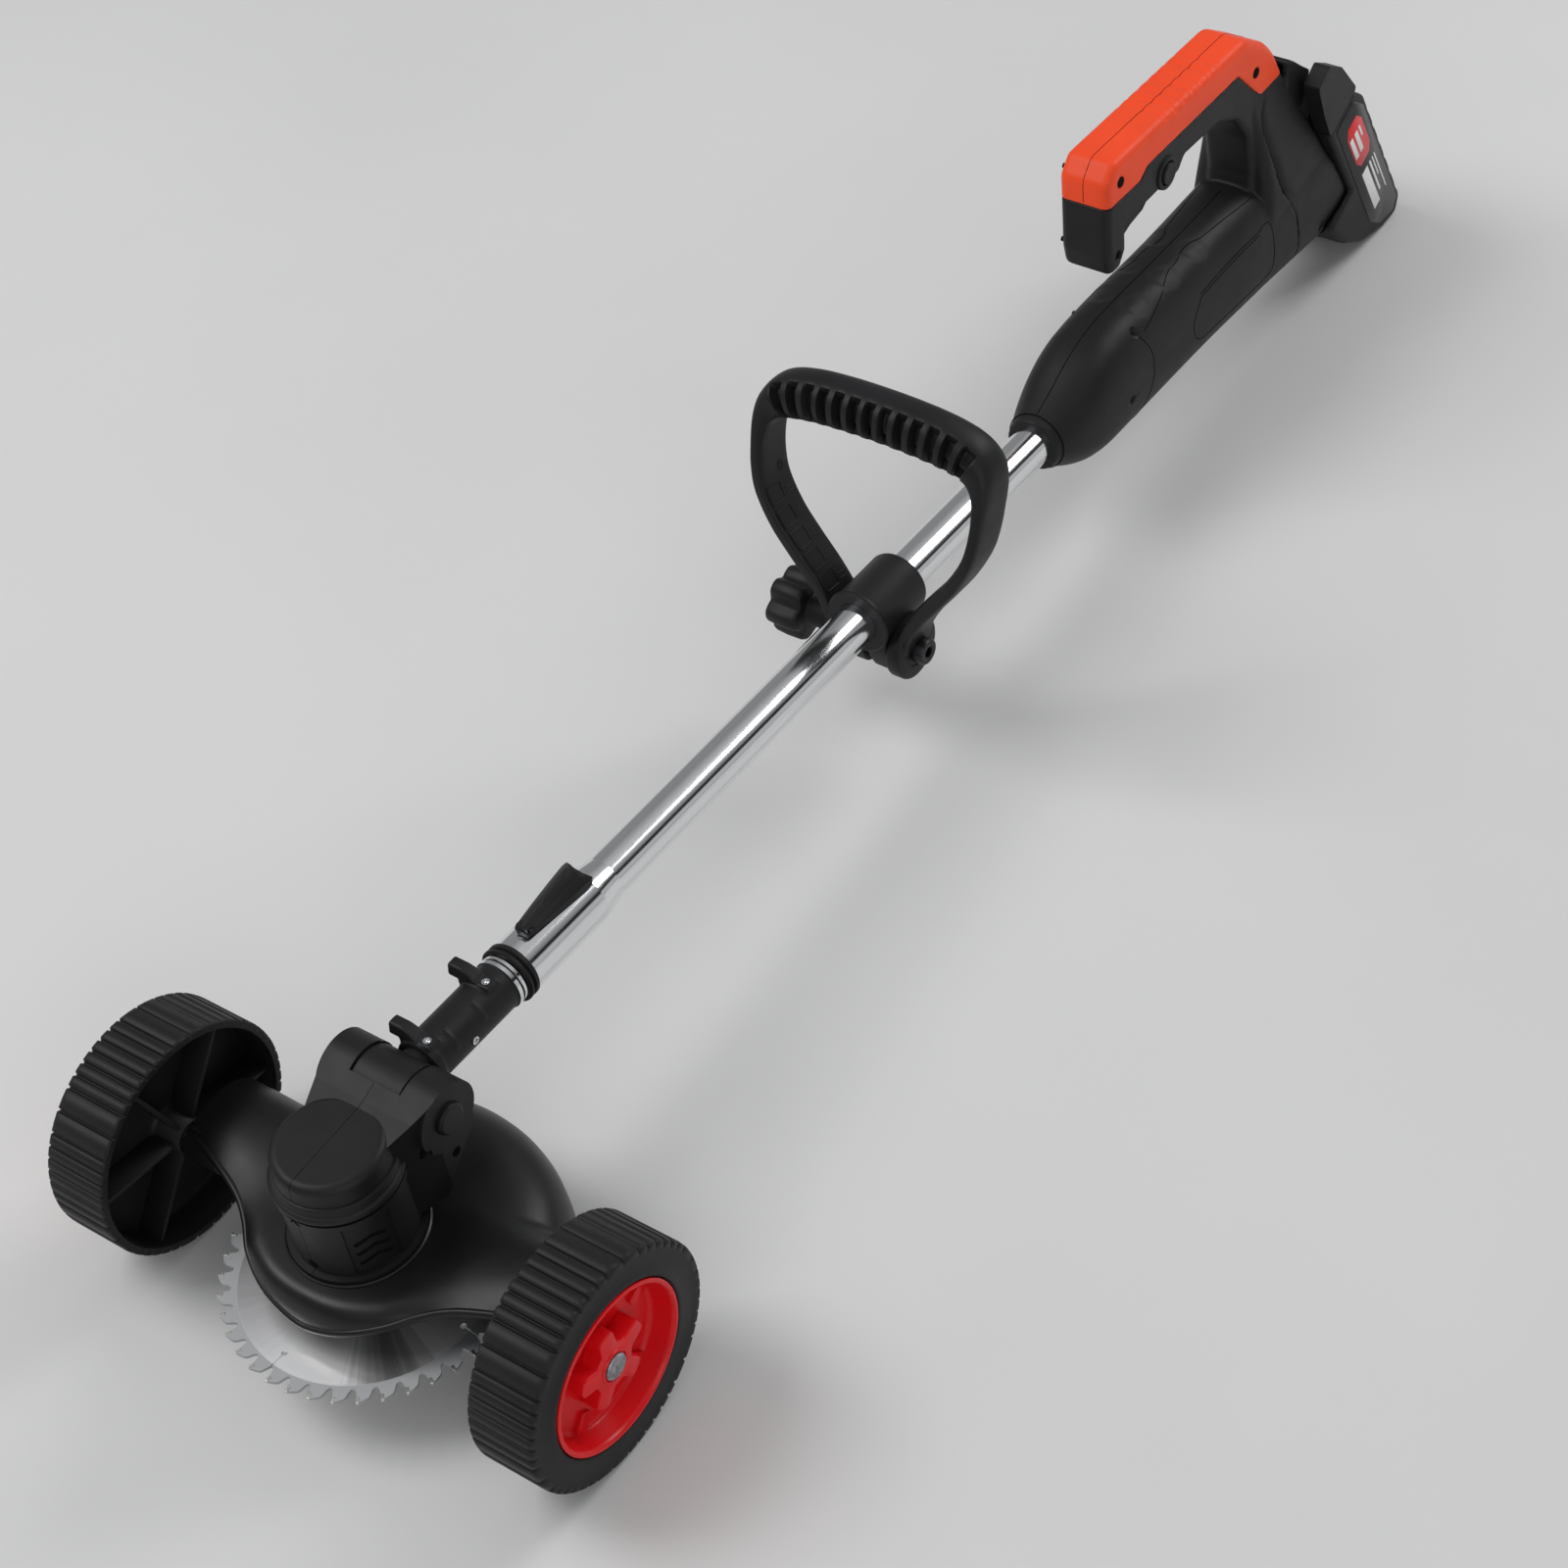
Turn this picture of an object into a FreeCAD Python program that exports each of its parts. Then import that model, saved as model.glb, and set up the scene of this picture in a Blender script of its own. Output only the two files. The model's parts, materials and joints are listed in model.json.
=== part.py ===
import FreeCAD, Part
import math
import os

V = FreeCAD.Vector
os.makedirs("parts", exist_ok=True)

# ---------------------------------------------------------------- driving dimensions (mm)
# Row frame: floor at z = 0, +X along the wheel axle, +Y from the blade towards the user.
WHEEL_D = 135.0
WHEEL_W = 39.5
TRACK_OUT = 161.0          # wheel outer face from the middle plane
TREAD_DEPTH = 2.3
RIM_WALL = 3.2
RED_DISC_R = 47.6
AXLE_R = 4.0

BLADE_D = 165.0
BLADE_T = 1.8
BLADE_Z = 43.0             # middle of the blade plate
BLADE_TEETH = 40
MOTOR_Y = -4.0             # motor and blade axis
SPINDLE_R = 5.0
RUNNING_GAP = 0.03

HOUSING_R = 33.0
HOUSING_Z0 = 78.5
HOUSING_Z1 = 121.0
CAP_R = 30.0
CAP_TOP = 149.0
HOUSING_WALL = 3.0
HOUSING_SCREWS = ((25.3, 126), (43, 108.5))

GUARD_R = 106.0
GUARD_WALL = 3.0
GUARD_LOW = 35.0
GUARD_SCREWS = [(18 * i, 18 * j) for i in (-1, 1) for j in (-1, 1)]

PIVOT_Y = 44.3
PIVOT_Z = 135.6
EAR_R = 20.0
EAR_HALF = 35.0
SLOT_HALF = 16.2

TUBE_DIP = 4.23            # tube slopes down towards the rear, degrees
TUBE_Y = 139.07            # mouth of the outer tube
TUBE_Z = 128.64
OUTER_R = 13.0
INNER_R = 11.0
BORE_R = 11.05
FLARE_R = 16.0
FLARE_END = 62.0
TUBE_END = 572.0
INNER_START = -60.0
INNER_END = 270.0
NECK_R = 14.0
LEVER_S = 14.5               # hinge of the lock lever
LEVER_H = 19.0

CLAMP_S = 340.0
CLAMP_LEN = 44.0
CLAMP_R = 19.5
BOLT_S = 338.0
BOLT_H = -23.0
LOOP_LEAN = 5.0            # front handle leans back, degrees
LOOP_DEPTH = 28.0

BODY_WALL = 2.8
BAR_HALF = 17.0
BAR_TOP = 161.0
SEAM_GAP = 0.15
BUTTON_S = 639.0             # lock-off button across the grip
BUTTON_H = 123.0
REAR_SCREWS = ((577, -1, 22.0), (592, 37, 12.0), (583, 97, 11.5), (587, 146, 11.5), (749, 132, 11.5),
               (818, -17, 22.0))

PACK_S = 844.0             # slanted joint between housing and battery
PACK_SLANT = 28.7
PACK_HALF = 36.0

X_AXIS = V(1, 0, 0)
Y_AXIS = V(0, 1, 0)
Z_AXIS = V(0, 0, 1)
TUBE_PLACE = FreeCAD.Placement(V(0, TUBE_Y, TUBE_Z), FreeCAD.Rotation(X_AXIS, -TUBE_DIP))
PACK_PLACE = TUBE_PLACE.multiply(
    FreeCAD.Placement(V(0, PACK_S, 0), FreeCAD.Rotation(X_AXIS, PACK_SLANT)))


# ---------------------------------------------------------------- small shape helpers
def box(x0, x1, y0, y1, z0, z1):
    return Part.makeBox(x1 - x0, y1 - y0, z1 - z0, V(x0, y0, z0))


def rod(radius, start, direction, length):
    return Part.makeCylinder(radius, length, V(*start), direction)


def ring(outer, inner, start, direction, length):
    return rod(outer, start, direction, length).cut(rod(inner, start, direction, length))


def fuse(first, *rest):
    return first.multiFuse(list(rest)) if rest else first


def placed(shape, placement):
    moved = shape.copy()
    moved.Placement = placement.multiply(moved.Placement)
    return moved


def on_tube(shape):
    """Shape drawn with y along the tube and z above its axis, moved to its place."""
    return placed(shape, TUBE_PLACE)


def on_pack(shape):
    """Shape drawn with y out of the battery joint and z up along it, moved to its place."""
    return placed(shape, PACK_PLACE)


def mirror_x(shape):
    return shape.mirror(V(0, 0, 0), X_AXIS)


def save(shape, node):
    shape.exportStep("parts/" + node + ".step")


def rounded_points(points, radius):
    """Corner, start and end of the arc at every corner of a closed polygon."""
    corners = []
    count = len(points)
    for i, here in enumerate(points):
        before = points[i - 1]
        after = points[(i + 1) % count]
        r = radius[i] if isinstance(radius, (list, tuple)) else radius
        to_prev = (V(before[0], before[1], 0) - V(here[0], here[1], 0)).normalize()
        to_next = (V(after[0], after[1], 0) - V(here[0], here[1], 0)).normalize()
        half = to_prev.getAngle(to_next) / 2.0
        reach = r / math.tan(half)
        corner = V(here[0], here[1], 0)
        start = corner + to_prev * reach
        end = corner + to_next * reach
        bisector = (to_prev + to_next).normalize()
        middle = corner + bisector * (r / math.sin(half) - r)
        corners.append((start, middle, end))
    return corners


def outline(points, radius):
    """Closed wire in the XY plane with rounded corners."""
    corners = rounded_points(points, radius)
    edges = []
    for i, (start, middle, end) in enumerate(corners):
        edges.append(Part.Arc(start, middle, end).toShape())
        following = corners[(i + 1) % len(corners)][0]
        if (following - end).Length > 1e-6:
            edges.append(Part.makeLine(end, following))
    return Part.Wire(edges)


def side_prism(points, radius, x0, x1):
    """Profile given as (y, z) pairs, extruded along x."""
    face = Part.Face(outline(points, radius))
    face.Placement = FreeCAD.Placement(V(x0, 0, 0), FreeCAD.Rotation(V(1, 1, 1), 120))
    return face.extrude(V(x1 - x0, 0, 0))


def inset_prism(points, radius, x0, x1, inset):
    """The same profile shrunk inwards by a wall thickness."""
    face = Part.Face(outline(points, radius)).makeOffset2D(-inset)
    face.Placement = FreeCAD.Placement(V(x0, 0, 0), FreeCAD.Rotation(V(1, 1, 1), 120))
    return face.extrude(V(x1 - x0, 0, 0))


def edges_round(shape, radius, keep):
    chosen = [edge for edge in shape.Edges if keep(edge)]
    return shape.makeFillet(radius, chosen)


def halves(shape):
    """Left and right half of a shell, parted at the middle plane."""
    size = 2000
    left = shape.common(box(-size, -SEAM_GAP, -size, size, -size, size))
    right = shape.common(box(SEAM_GAP, size, -size, size, -size, size))
    return left, right


def section(station, half_width, half_height, middle, power=2.6, count=28):
    """Closed smooth cross-section of a housing at one station along the tube."""
    points = []
    for i in range(count):
        angle = 2 * math.pi * i / count
        c = math.cos(angle)
        s = math.sin(angle)
        x = math.copysign(abs(c) ** (2 / power), c) * half_width
        z = math.copysign(abs(s) ** (2 / power), s) * half_height + middle
        points.append(V(x, station, z))
    curve = Part.BSplineCurve()
    curve.interpolate(points, PeriodicFlag=True)
    return Part.Wire([curve.toShape()])


def hex_prism(across_flats, start, direction, length):
    radius = across_flats / math.sqrt(3)
    points = [V(radius * math.cos(math.radians(60 * i)), radius * math.sin(math.radians(60 * i)), 0)
              for i in range(7)]
    prism = Part.Face(Part.makePolygon(points)).extrude(V(0, 0, length))
    prism.Placement = FreeCAD.Placement(V(*start), FreeCAD.Rotation(Z_AXIS, direction))
    return prism


def coil(radius, wire_r, pitch, height, start, direction):
    """Open helical spring or coiled lead."""
    helix = Part.makeHelix(pitch, height, radius)
    circle = Part.Wire([Part.makeCircle(wire_r, V(radius, 0, 0), Y_AXIS)])
    body = Part.Wire(helix.Edges).makePipeShell([circle], True, True)
    body.Placement = FreeCAD.Placement(V(*start), FreeCAD.Rotation(Z_AXIS, direction))
    return body


def screw(head_r, head_h, shank_r, start, direction, length):
    """Pan head screw with a cross recess; start is under the head."""
    head = rod(head_r, start, direction * -1, head_h)
    shank = rod(shank_r, start, direction, length)
    body = head.fuse(shank)
    top = V(*start) - direction * head_h
    turn = FreeCAD.Rotation(Z_AXIS, direction)
    slot = box(-head_r * 0.7, head_r * 0.7, -0.45, 0.45, 0, head_h * 0.6)
    cross = slot.fuse(slot.copy().rotate(V(0, 0, 0), Z_AXIS, 90))
    cross.Placement = FreeCAD.Placement(top, turn)
    return body.cut(cross)


# ---------------------------------------------------------------- blade and motor
def blade():
    outer = BLADE_D / 2
    gullet = outer - 9.0
    points = []
    for i in range(BLADE_TEETH):
        base = 360.0 * i / BLADE_TEETH
        for turn, r in ((0.0, outer), (1.0, outer - 4.2), (2.6, gullet), (4.6, gullet + 0.6),
                        (6.6, outer - 4.0)):
            angle = math.radians(base + turn)
            points.append(V(r * math.cos(angle), r * math.sin(angle), 0))
    points.append(points[0])
    plate = Part.Face(Part.makePolygon(points)).extrude(V(0, 0, BLADE_T))
    plate = plate.cut(rod(8.0, (0, 0, -1), Z_AXIS, BLADE_T + 2))
    slot = box(65, outer + 2, -0.5, 0.5, -1, BLADE_T + 1).fuse(rod(2.0, (65, 0, -1), Z_AXIS, 4))
    for angle in (-5, 85, 175, 265):
        plate = plate.cut(slot.copy().rotate(V(0, 0, 0), Z_AXIS, angle))
    plate.translate(V(0, MOTOR_Y, BLADE_Z - BLADE_T / 2))
    return plate


def on_motor(shape):
    moved = shape.copy()
    moved.translate(V(0, MOTOR_Y, 0))
    return moved


def blade_hardware():
    top = BLADE_Z + BLADE_T / 2
    low = BLADE_Z - BLADE_T / 2
    inner = ring(19, SPINDLE_R, (0, 0, top), Z_AXIS, 2.5)
    inner = inner.fuse(ring(11, SPINDLE_R, (0, 0, top + 2.5), Z_AXIS, 5))
    spigot = ring(8.0, SPINDLE_R, (0, 0, low), Z_AXIS, BLADE_T)
    save(on_motor(inner.fuse(spigot)), "blade_flange_inner")
    outer = ring(16, SPINDLE_R, (0, 0, low - 2.5), Z_AXIS, 2.5)
    save(on_motor(outer), "blade_flange_outer")
    nut = hex_prism(15, (0, 0, low - 8.0), Z_AXIS, 5.5)
    save(on_motor(nut.cut(rod(SPINDLE_R, (0, 0, 0), Z_AXIS, 60))), "blade_nut")
    shaft = rod(SPINDLE_R, (0, 0, low - 10), Z_AXIS, 128 - low + 10)
    shaft = shaft.fuse(rod(7.0, (0, 0, top + 7.5), Z_AXIS, 20))
    save(on_motor(shaft), "motor_spindle")


def motor():
    can = ring(27.0, 25.0, (0, 0, 84), Z_AXIS, 46)
    floor = ring(25.0, 9.0, (0, 0, 84), Z_AXIS, 6)
    roof = ring(25.0, 7.0, (0, 0, 124), Z_AXIS, 6)
    save(on_motor(fuse(can, floor, roof)), "motor_can")
    stack = ring(18.5, SPINDLE_R, (0, 0, 95), Z_AXIS, 20)
    for i in range(9):
        slot = box(10, 20, -1.2, 1.2, 94, 116)
        stack = stack.cut(slot.rotate(V(0, 0, 0), Z_AXIS, 40 * i))
    drum = ring(9, SPINDLE_R, (0, 0, 115), Z_AXIS, 7)
    save(on_motor(stack.fuse(drum)), "motor_rotor")
    arc = ring(25.0, 20.0, (0, 0, 93), Z_AXIS, 26)
    arc = arc.cut(box(-40, 40, -6, 6, 80, 130))
    save(on_motor(arc), "motor_magnets")
    bore = SPINDLE_R + RUNNING_GAP
    low = ring(9.0, bore, (0, 0, 84), Z_AXIS, 6)
    high = ring(7.0, bore, (0, 0, 124), Z_AXIS, 3.9)
    save(on_motor(Part.makeCompound([low, high])), "motor_bearings")


# ---------------------------------------------------------------- motor housing and tilt joint
def housing_outer():
    body = rod(HOUSING_R, (0, MOTOR_Y, HOUSING_Z0), Z_AXIS, HOUSING_Z1 - HOUSING_Z0)
    foot = rod(36.5, (0, MOTOR_Y, HOUSING_Z0), Z_AXIS, 3.5)
    lip = rod(HOUSING_R + 1.2, (0, MOTOR_Y, HOUSING_Z1), Z_AXIS, 3.5)
    cap = Part.makeCone(CAP_R + 2.2, CAP_R, CAP_TOP - HOUSING_Z1 - 3.5, V(0, MOTOR_Y, HOUSING_Z1 + 3.5))
    cap = edges_round(cap, 5.0, lambda e: abs(e.BoundBox.ZMin - CAP_TOP) < 0.01)
    ears = rod(EAR_R, (-EAR_HALF, PIVOT_Y, PIVOT_Z), X_AXIS, 2 * EAR_HALF)
    arm_side = ((MOTOR_Y, 86), (MOTOR_Y, 143), (24, 150), (38, 154.6), (62, 140), (60, 117), (40, 98),
                (30, 86))
    arm = side_prism(arm_side, 2.0, -EAR_HALF, EAR_HALF)
    plan = ((-21, -10), (21, -10), (34.5, 34), (34.5, 70), (-34.5, 70), (-34.5, 34))
    arm = arm.common(Part.Face(outline(plan, 3.0)).extrude(V(0, 0, 200)))
    return fuse(body, foot, lip, cap, arm, ears)


def housing_inner():
    r = HOUSING_R - HOUSING_WALL
    body = rod(r, (0, MOTOR_Y, HOUSING_Z0 + 3), Z_AXIS, HOUSING_Z1 - HOUSING_Z0)
    cap = rod(CAP_R - HOUSING_WALL, (0, MOTOR_Y, 100), Z_AXIS, CAP_TOP - HOUSING_WALL - 100)
    neck = side_prism(((10, 95), (10, 138), (22, 141), (22, 100)), 1.0, -14, 14)
    hole = rod(12, (0, MOTOR_Y, HOUSING_Z0 - 1), Z_AXIS, 6)
    return fuse(body, cap, neck, hole)


def chevron(z):
    """One bent vent slot, cut through the right front of the housing wall."""
    bar = box(26, 40, -10.5, 0.5, z - 1.1, z + 1.1)
    low = bar.copy().rotate(V(30, 0, z), X_AXIS, 22)
    high = box(26, 40, -0.5, 8.5, z - 1.1, z + 1.1).rotate(V(30, 0, z), X_AXIS, -22)
    return low.fuse(high).rotate(V(0, 0, 0), Z_AXIS, -26)


def motor_housing():
    shell = housing_outer().cut(housing_inner())
    slot = box(-SLOT_HALF, SLOT_HALF, PIVOT_Y, PIVOT_Y + 60, PIVOT_Z - 40, PIVOT_Z + 60)
    drum = rod(EAR_R + 0.4, (-SLOT_HALF, PIVOT_Y, PIVOT_Z), X_AXIS, 2 * SLOT_HALF)
    above = box(-SLOT_HALF, SLOT_HALF, PIVOT_Y - 10, PIVOT_Y + 60, PIVOT_Z, PIVOT_Z + 60)
    shell = shell.cut(fuse(slot, drum, above))
    shell = shell.cut(rod(5.05, (-60, PIVOT_Y, PIVOT_Z), X_AXIS, 120))
    shell = shell.cut(rod(9.2, (EAR_HALF - 9, PIVOT_Y, PIVOT_Z), X_AXIS, 20))
    shell = shell.cut(rod(8.6, (-EAR_HALF - 1, PIVOT_Y, PIVOT_Z), X_AXIS, 6))
    panel = ring(HOUSING_R + 6, HOUSING_R - 1.0, (0, 0, 83), Z_AXIS, 37)
    wedge = box(0, 60, -60, 0, 80, 125).rotate(V(0, 0, 0), Z_AXIS, 40)
    panel = panel.common(wedge).common(box(0, 60, -60, -2, 80, 125))
    cuts = [panel] + [chevron(z) for z in (93, 100.5, 108)]
    for z in (121.7, 86.5):
        cuts.append(rod(3.0, (0, -HOUSING_R - 4, z), Y_AXIS, 5.5))
    cuts += [rod(1.8, (x, y, HOUSING_Z0 - 1), Z_AXIS, 3.5) for x, y in GUARD_SCREWS]
    shell = shell.cut(Part.makeCompound([on_motor(c) for c in cuts]))
    for y, z in HOUSING_SCREWS:
        shell = shell.cut(rod(3.1, (28, y, z), X_AXIS, 20))
        shell = shell.cut(rod(1.5, (-26, y, z), X_AXIS, 60))
    left, right = halves(shell)
    save(left, "motor_housing_left")
    save(right, "motor_housing_right")


def housing_screws():
    screws = [screw(2.9, 2.2, 1.5, (28, y, z), X_AXIS * -1, 53) for y, z in HOUSING_SCREWS]
    save(Part.makeCompound(screws), "motor_housing_screws")


def tilt_joint():
    pin = rod(5.0, (-EAR_HALF + 4, PIVOT_Y, PIVOT_Z), X_AXIS, 2 * EAR_HALF - 17)
    head = rod(8.3, (-EAR_HALF + 0.5, PIVOT_Y, PIVOT_Z), X_AXIS, 4.4)
    socket = hex_prism(5, (-EAR_HALF, PIVOT_Y, PIVOT_Z), X_AXIS, 3)
    save(pin.fuse(head).cut(socket), "tilt_pivot_bolt")
    button = rod(8.9, (EAR_HALF - 4, PIVOT_Y, PIVOT_Z), X_AXIS, 7.0)
    button = edges_round(button, 1.6, lambda e: e.BoundBox.XMin > EAR_HALF + 2.9)
    guide = rod(2.6, (EAR_HALF - 8.6, PIVOT_Y, PIVOT_Z), X_AXIS, 4.6)
    save(button.fuse(guide), "tilt_release_button")
    spring = coil(6.0, 0.5, 1.6, 3.4, (EAR_HALF - 8.3, PIVOT_Y, PIVOT_Z), X_AXIS)
    save(spring, "tilt_button_spring")


# ---------------------------------------------------------------- guard
def guard_plan(z, inset, back):
    """Plan outline of the guard at one height: round front lip and side wings."""
    half = ((26, -56.5 + inset + back), (50, -38 + inset + 0.8 * back), (72, -13 + inset + 0.5 * back),
            (120 - inset * 0.3, 1 + inset), (120 - inset * 0.3, 125))
    radius = [30, 60, 40, 5, 5]
    points = list(half) + [(-x, y) for x, y in reversed(half)]
    wire = outline(points, radius + radius[::-1])
    wire.translate(V(0, 0, z))
    return wire


def guard_body(inset):
    """Dome over the blade joined to an arched wing over the axle."""
    radius = GUARD_R - inset
    top = 78.0 - inset
    profile = ((0, 20), (radius, 20), (radius, 44), (radius - 5, 60), (radius - 20, 70), (62, top - 1),
               (38, top), (0, top))
    face = Part.Face(Part.makePolygon([V(r, 0, z) for r, z in profile + (profile[0],)]))
    dome = face.revolve(V(0, 0, 0), Z_AXIS, 360)
    dome.translate(V(0, MOTOR_Y, 0))
    arch = ((-60, 20), (-40, 60), (-6, 79 - inset), (10, 83.5 - inset), (28, 83.5 - inset),
            (50 - inset, 66), (60 - inset, 48), (64 - inset, 20))
    wing = side_prism(arch, 6.0, -119.8 + inset * 0.3, 119.8 - inset * 0.3)
    levels = ((12, 0), (60, 0), (66, 1), (71, 3), (76, 6.5), (80, 11), (97, 32))
    sides = Part.makeLoft([guard_plan(z, inset, back) for z, back in levels], True, True)
    return dome.common(sides).fuse(wing.common(sides))


def guard():
    shell = guard_body(0).cut(guard_body(GUARD_WALL))
    shell = shell.cut(box(-130, 130, -100, 24, 0, 51))
    shell = shell.cut(box(-130, 130, 20, 130, 0, GUARD_LOW))
    outside = guard_body(0.2)
    seat = ring(40, 20, (0, MOTOR_Y, HOUSING_Z0 - 4), Z_AXIS, 10).common(outside)
    shell = shell.cut(rod(20, (0, MOTOR_Y, 60), Z_AXIS, 40)).fuse(seat)
    shell = shell.cut(rod(36.8, (0, MOTOR_Y, HOUSING_Z0), Z_AXIS, 20))
    mounts = []
    for side in (-1, 1):
        x0 = 96 if side > 0 else -121
        boss = rod(10.5, (x0, 0, WHEEL_D / 2), X_AXIS, 25)
        web = box(x0, x0 + 25, -2.5, 2.5, WHEEL_D / 2, 90)
        plate = box(side * 96 - 2, side * 96 + 2, -6, 44, WHEEL_D / 2 - 9.5, 90)
        mounts += [boss, fuse(web, plate).common(outside)]
    shell = shell.fuse(mounts)
    shell = shell.cut(rod(AXLE_R, (85, 0, WHEEL_D / 2), X_AXIS, 40))
    shell = shell.cut(rod(AXLE_R, (-125, 0, WHEEL_D / 2), X_AXIS, 40))
    shell = shell.cut(rod(8.2, (85, 0, WHEEL_D / 2), X_AXIS, 16))
    shell = shell.cut(rod(8.2, (-101, 0, WHEEL_D / 2), X_AXIS, 16))
    for x, y in GUARD_SCREWS:
        shell = shell.cut(rod(1.8, (x, y + MOTOR_Y, 60), Z_AXIS, 30))
    save(shell, "blade_guard")


def guard_screws():
    under = HOUSING_Z0 - 4
    screws = [screw(3.4, 2.4, 1.8, (x, y + MOTOR_Y, under), Z_AXIS, 6.5) for x, y in GUARD_SCREWS]
    save(Part.makeCompound(screws), "guard_screws")


# ---------------------------------------------------------------- wheels
def tread_profile():
    """Scalloped outline: six repeats of two wide lands and six narrow ribs."""
    top = WHEEL_D / 2
    low = top - TREAD_DEPTH
    widths = (11.0, 11.0) + (6.333,) * 6
    points = []
    angle = 0.0
    for _ in range(6):
        for width in widths:
            for part, r in ((0.02, low), (0.14, top), (0.50, top), (0.86, top), (0.98, low)):
                a = math.radians(angle + part * width)
                points.append(V(0, r * math.cos(a), r * math.sin(a)))
            angle += width
    points.append(points[0])
    return Part.Face(Part.makePolygon(points))


def wheel():
    """Right wheel about its own axis, inner face at x = 0."""
    depth = WHEEL_W
    tread = tread_profile().extrude(V(depth, 0, 0))
    inner_r = WHEEL_D / 2 - TREAD_DEPTH - RIM_WALL
    tread = tread.cut(rod(inner_r, (-1, 0, 0), X_AXIS, depth - 2))
    tread = tread.cut(rod(RED_DISC_R + 0.3, (-1, 0, 0), X_AXIS, depth + 2))
    sleeve = ring(RED_DISC_R + 3.2, RED_DISC_R + 0.3, (depth - 16, 0, 0), X_AXIS, 14)
    web = ring(RED_DISC_R + 3.2, 9.9, (depth - 18.5, 0, 0), X_AXIS, 2.5)
    hub = ring(10.0, 6.0, (2, 0, 0), X_AXIS, depth - 18.5)
    ribs = []
    for i in range(6):
        rib = box(5, depth - 18.4, -1.2, 1.2, 9.5, inner_r + 0.5)
        ribs.append(rib.rotate(V(0, 0, 0), X_AXIS, 60 * i + 20))
    rim = ring(inner_r + 0.5, RED_DISC_R + 3.0, (depth - 18.5, 0, 0), X_AXIS, 2.5)
    return fuse(tread, sleeve, web, rim, hub, *ribs).cut(rod(6.0, (-1, 0, 0), X_AXIS, 60))


def star_face(tip, valley):
    points = []
    for i in range(5):
        base = math.radians(72 * i + 90)
        for turn, r in ((-13, tip), (13, tip), (36, valley)):
            a = base + math.radians(turn)
            points.append((r * math.cos(a), r * math.sin(a)))
    return outline(points, [3.0, 3.0, 4.0] * 5)


def hub_disc():
    """Red dished cover with a five armed star, in the right wheel."""
    face = WHEEL_W
    cup = ring(RED_DISC_R, RED_DISC_R - 3.0, (face - 15.5, 0, 0), X_AXIS, 16.3)
    floor = ring(RED_DISC_R, 6.0, (face - 16.0, 0, 0), X_AXIS, 2.4)
    star = Part.Face(star_face(30, 15))
    star.Placement = FreeCAD.Placement(V(face - 13.8, 0, 0), FreeCAD.Rotation(V(1, 1, 1), 120))
    star = star.extrude(V(8.5, 0, 0))
    disc = fuse(cup, floor, star)
    disc = disc.cut(rod(6.0, (0, 0, 0), X_AXIS, 60))
    return disc.cut(rod(11.0, (face - 8.0, 0, 0), X_AXIS, 20))


def wheels():
    shift = V(TRACK_OUT - WHEEL_W, 0, WHEEL_D / 2)
    start = TRACK_OUT - WHEEL_W
    pieces = {"wheel": wheel(), "hub_disc": hub_disc()}
    for shape in pieces.values():
        shape.translate(shift)
    z = WHEEL_D / 2
    pieces["wheel_bushing"] = ring(6.0, AXLE_R + 0.05, (start + 0.5, 0, z), X_AXIS, WHEEL_W - 9.0)
    bolt = rod(AXLE_R, (96.5, 0, z), X_AXIS, TRACK_OUT - 7.6 - 96.5)
    head = hex_prism(13, (TRACK_OUT - 7.6, 0, z), X_AXIS, 5.0)
    washer = rod(8.6, (TRACK_OUT - 7.6, 0, z), X_AXIS, 1.4)
    bolt = fuse(bolt, head, washer)
    nut = hex_prism(13, (97.0, 0, z), X_AXIS, 4.0).cut(rod(AXLE_R, (80, 0, z), X_AXIS, 30))
    for node, shape in pieces.items():
        save(shape, node + "_right")
        save(mirror_x(shape), node + "_left")
    save(Part.makeCompound([bolt, mirror_x(bolt)]), "axle_bolts")
    save(Part.makeCompound([nut, mirror_x(nut)]), "axle_nuts")


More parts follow.
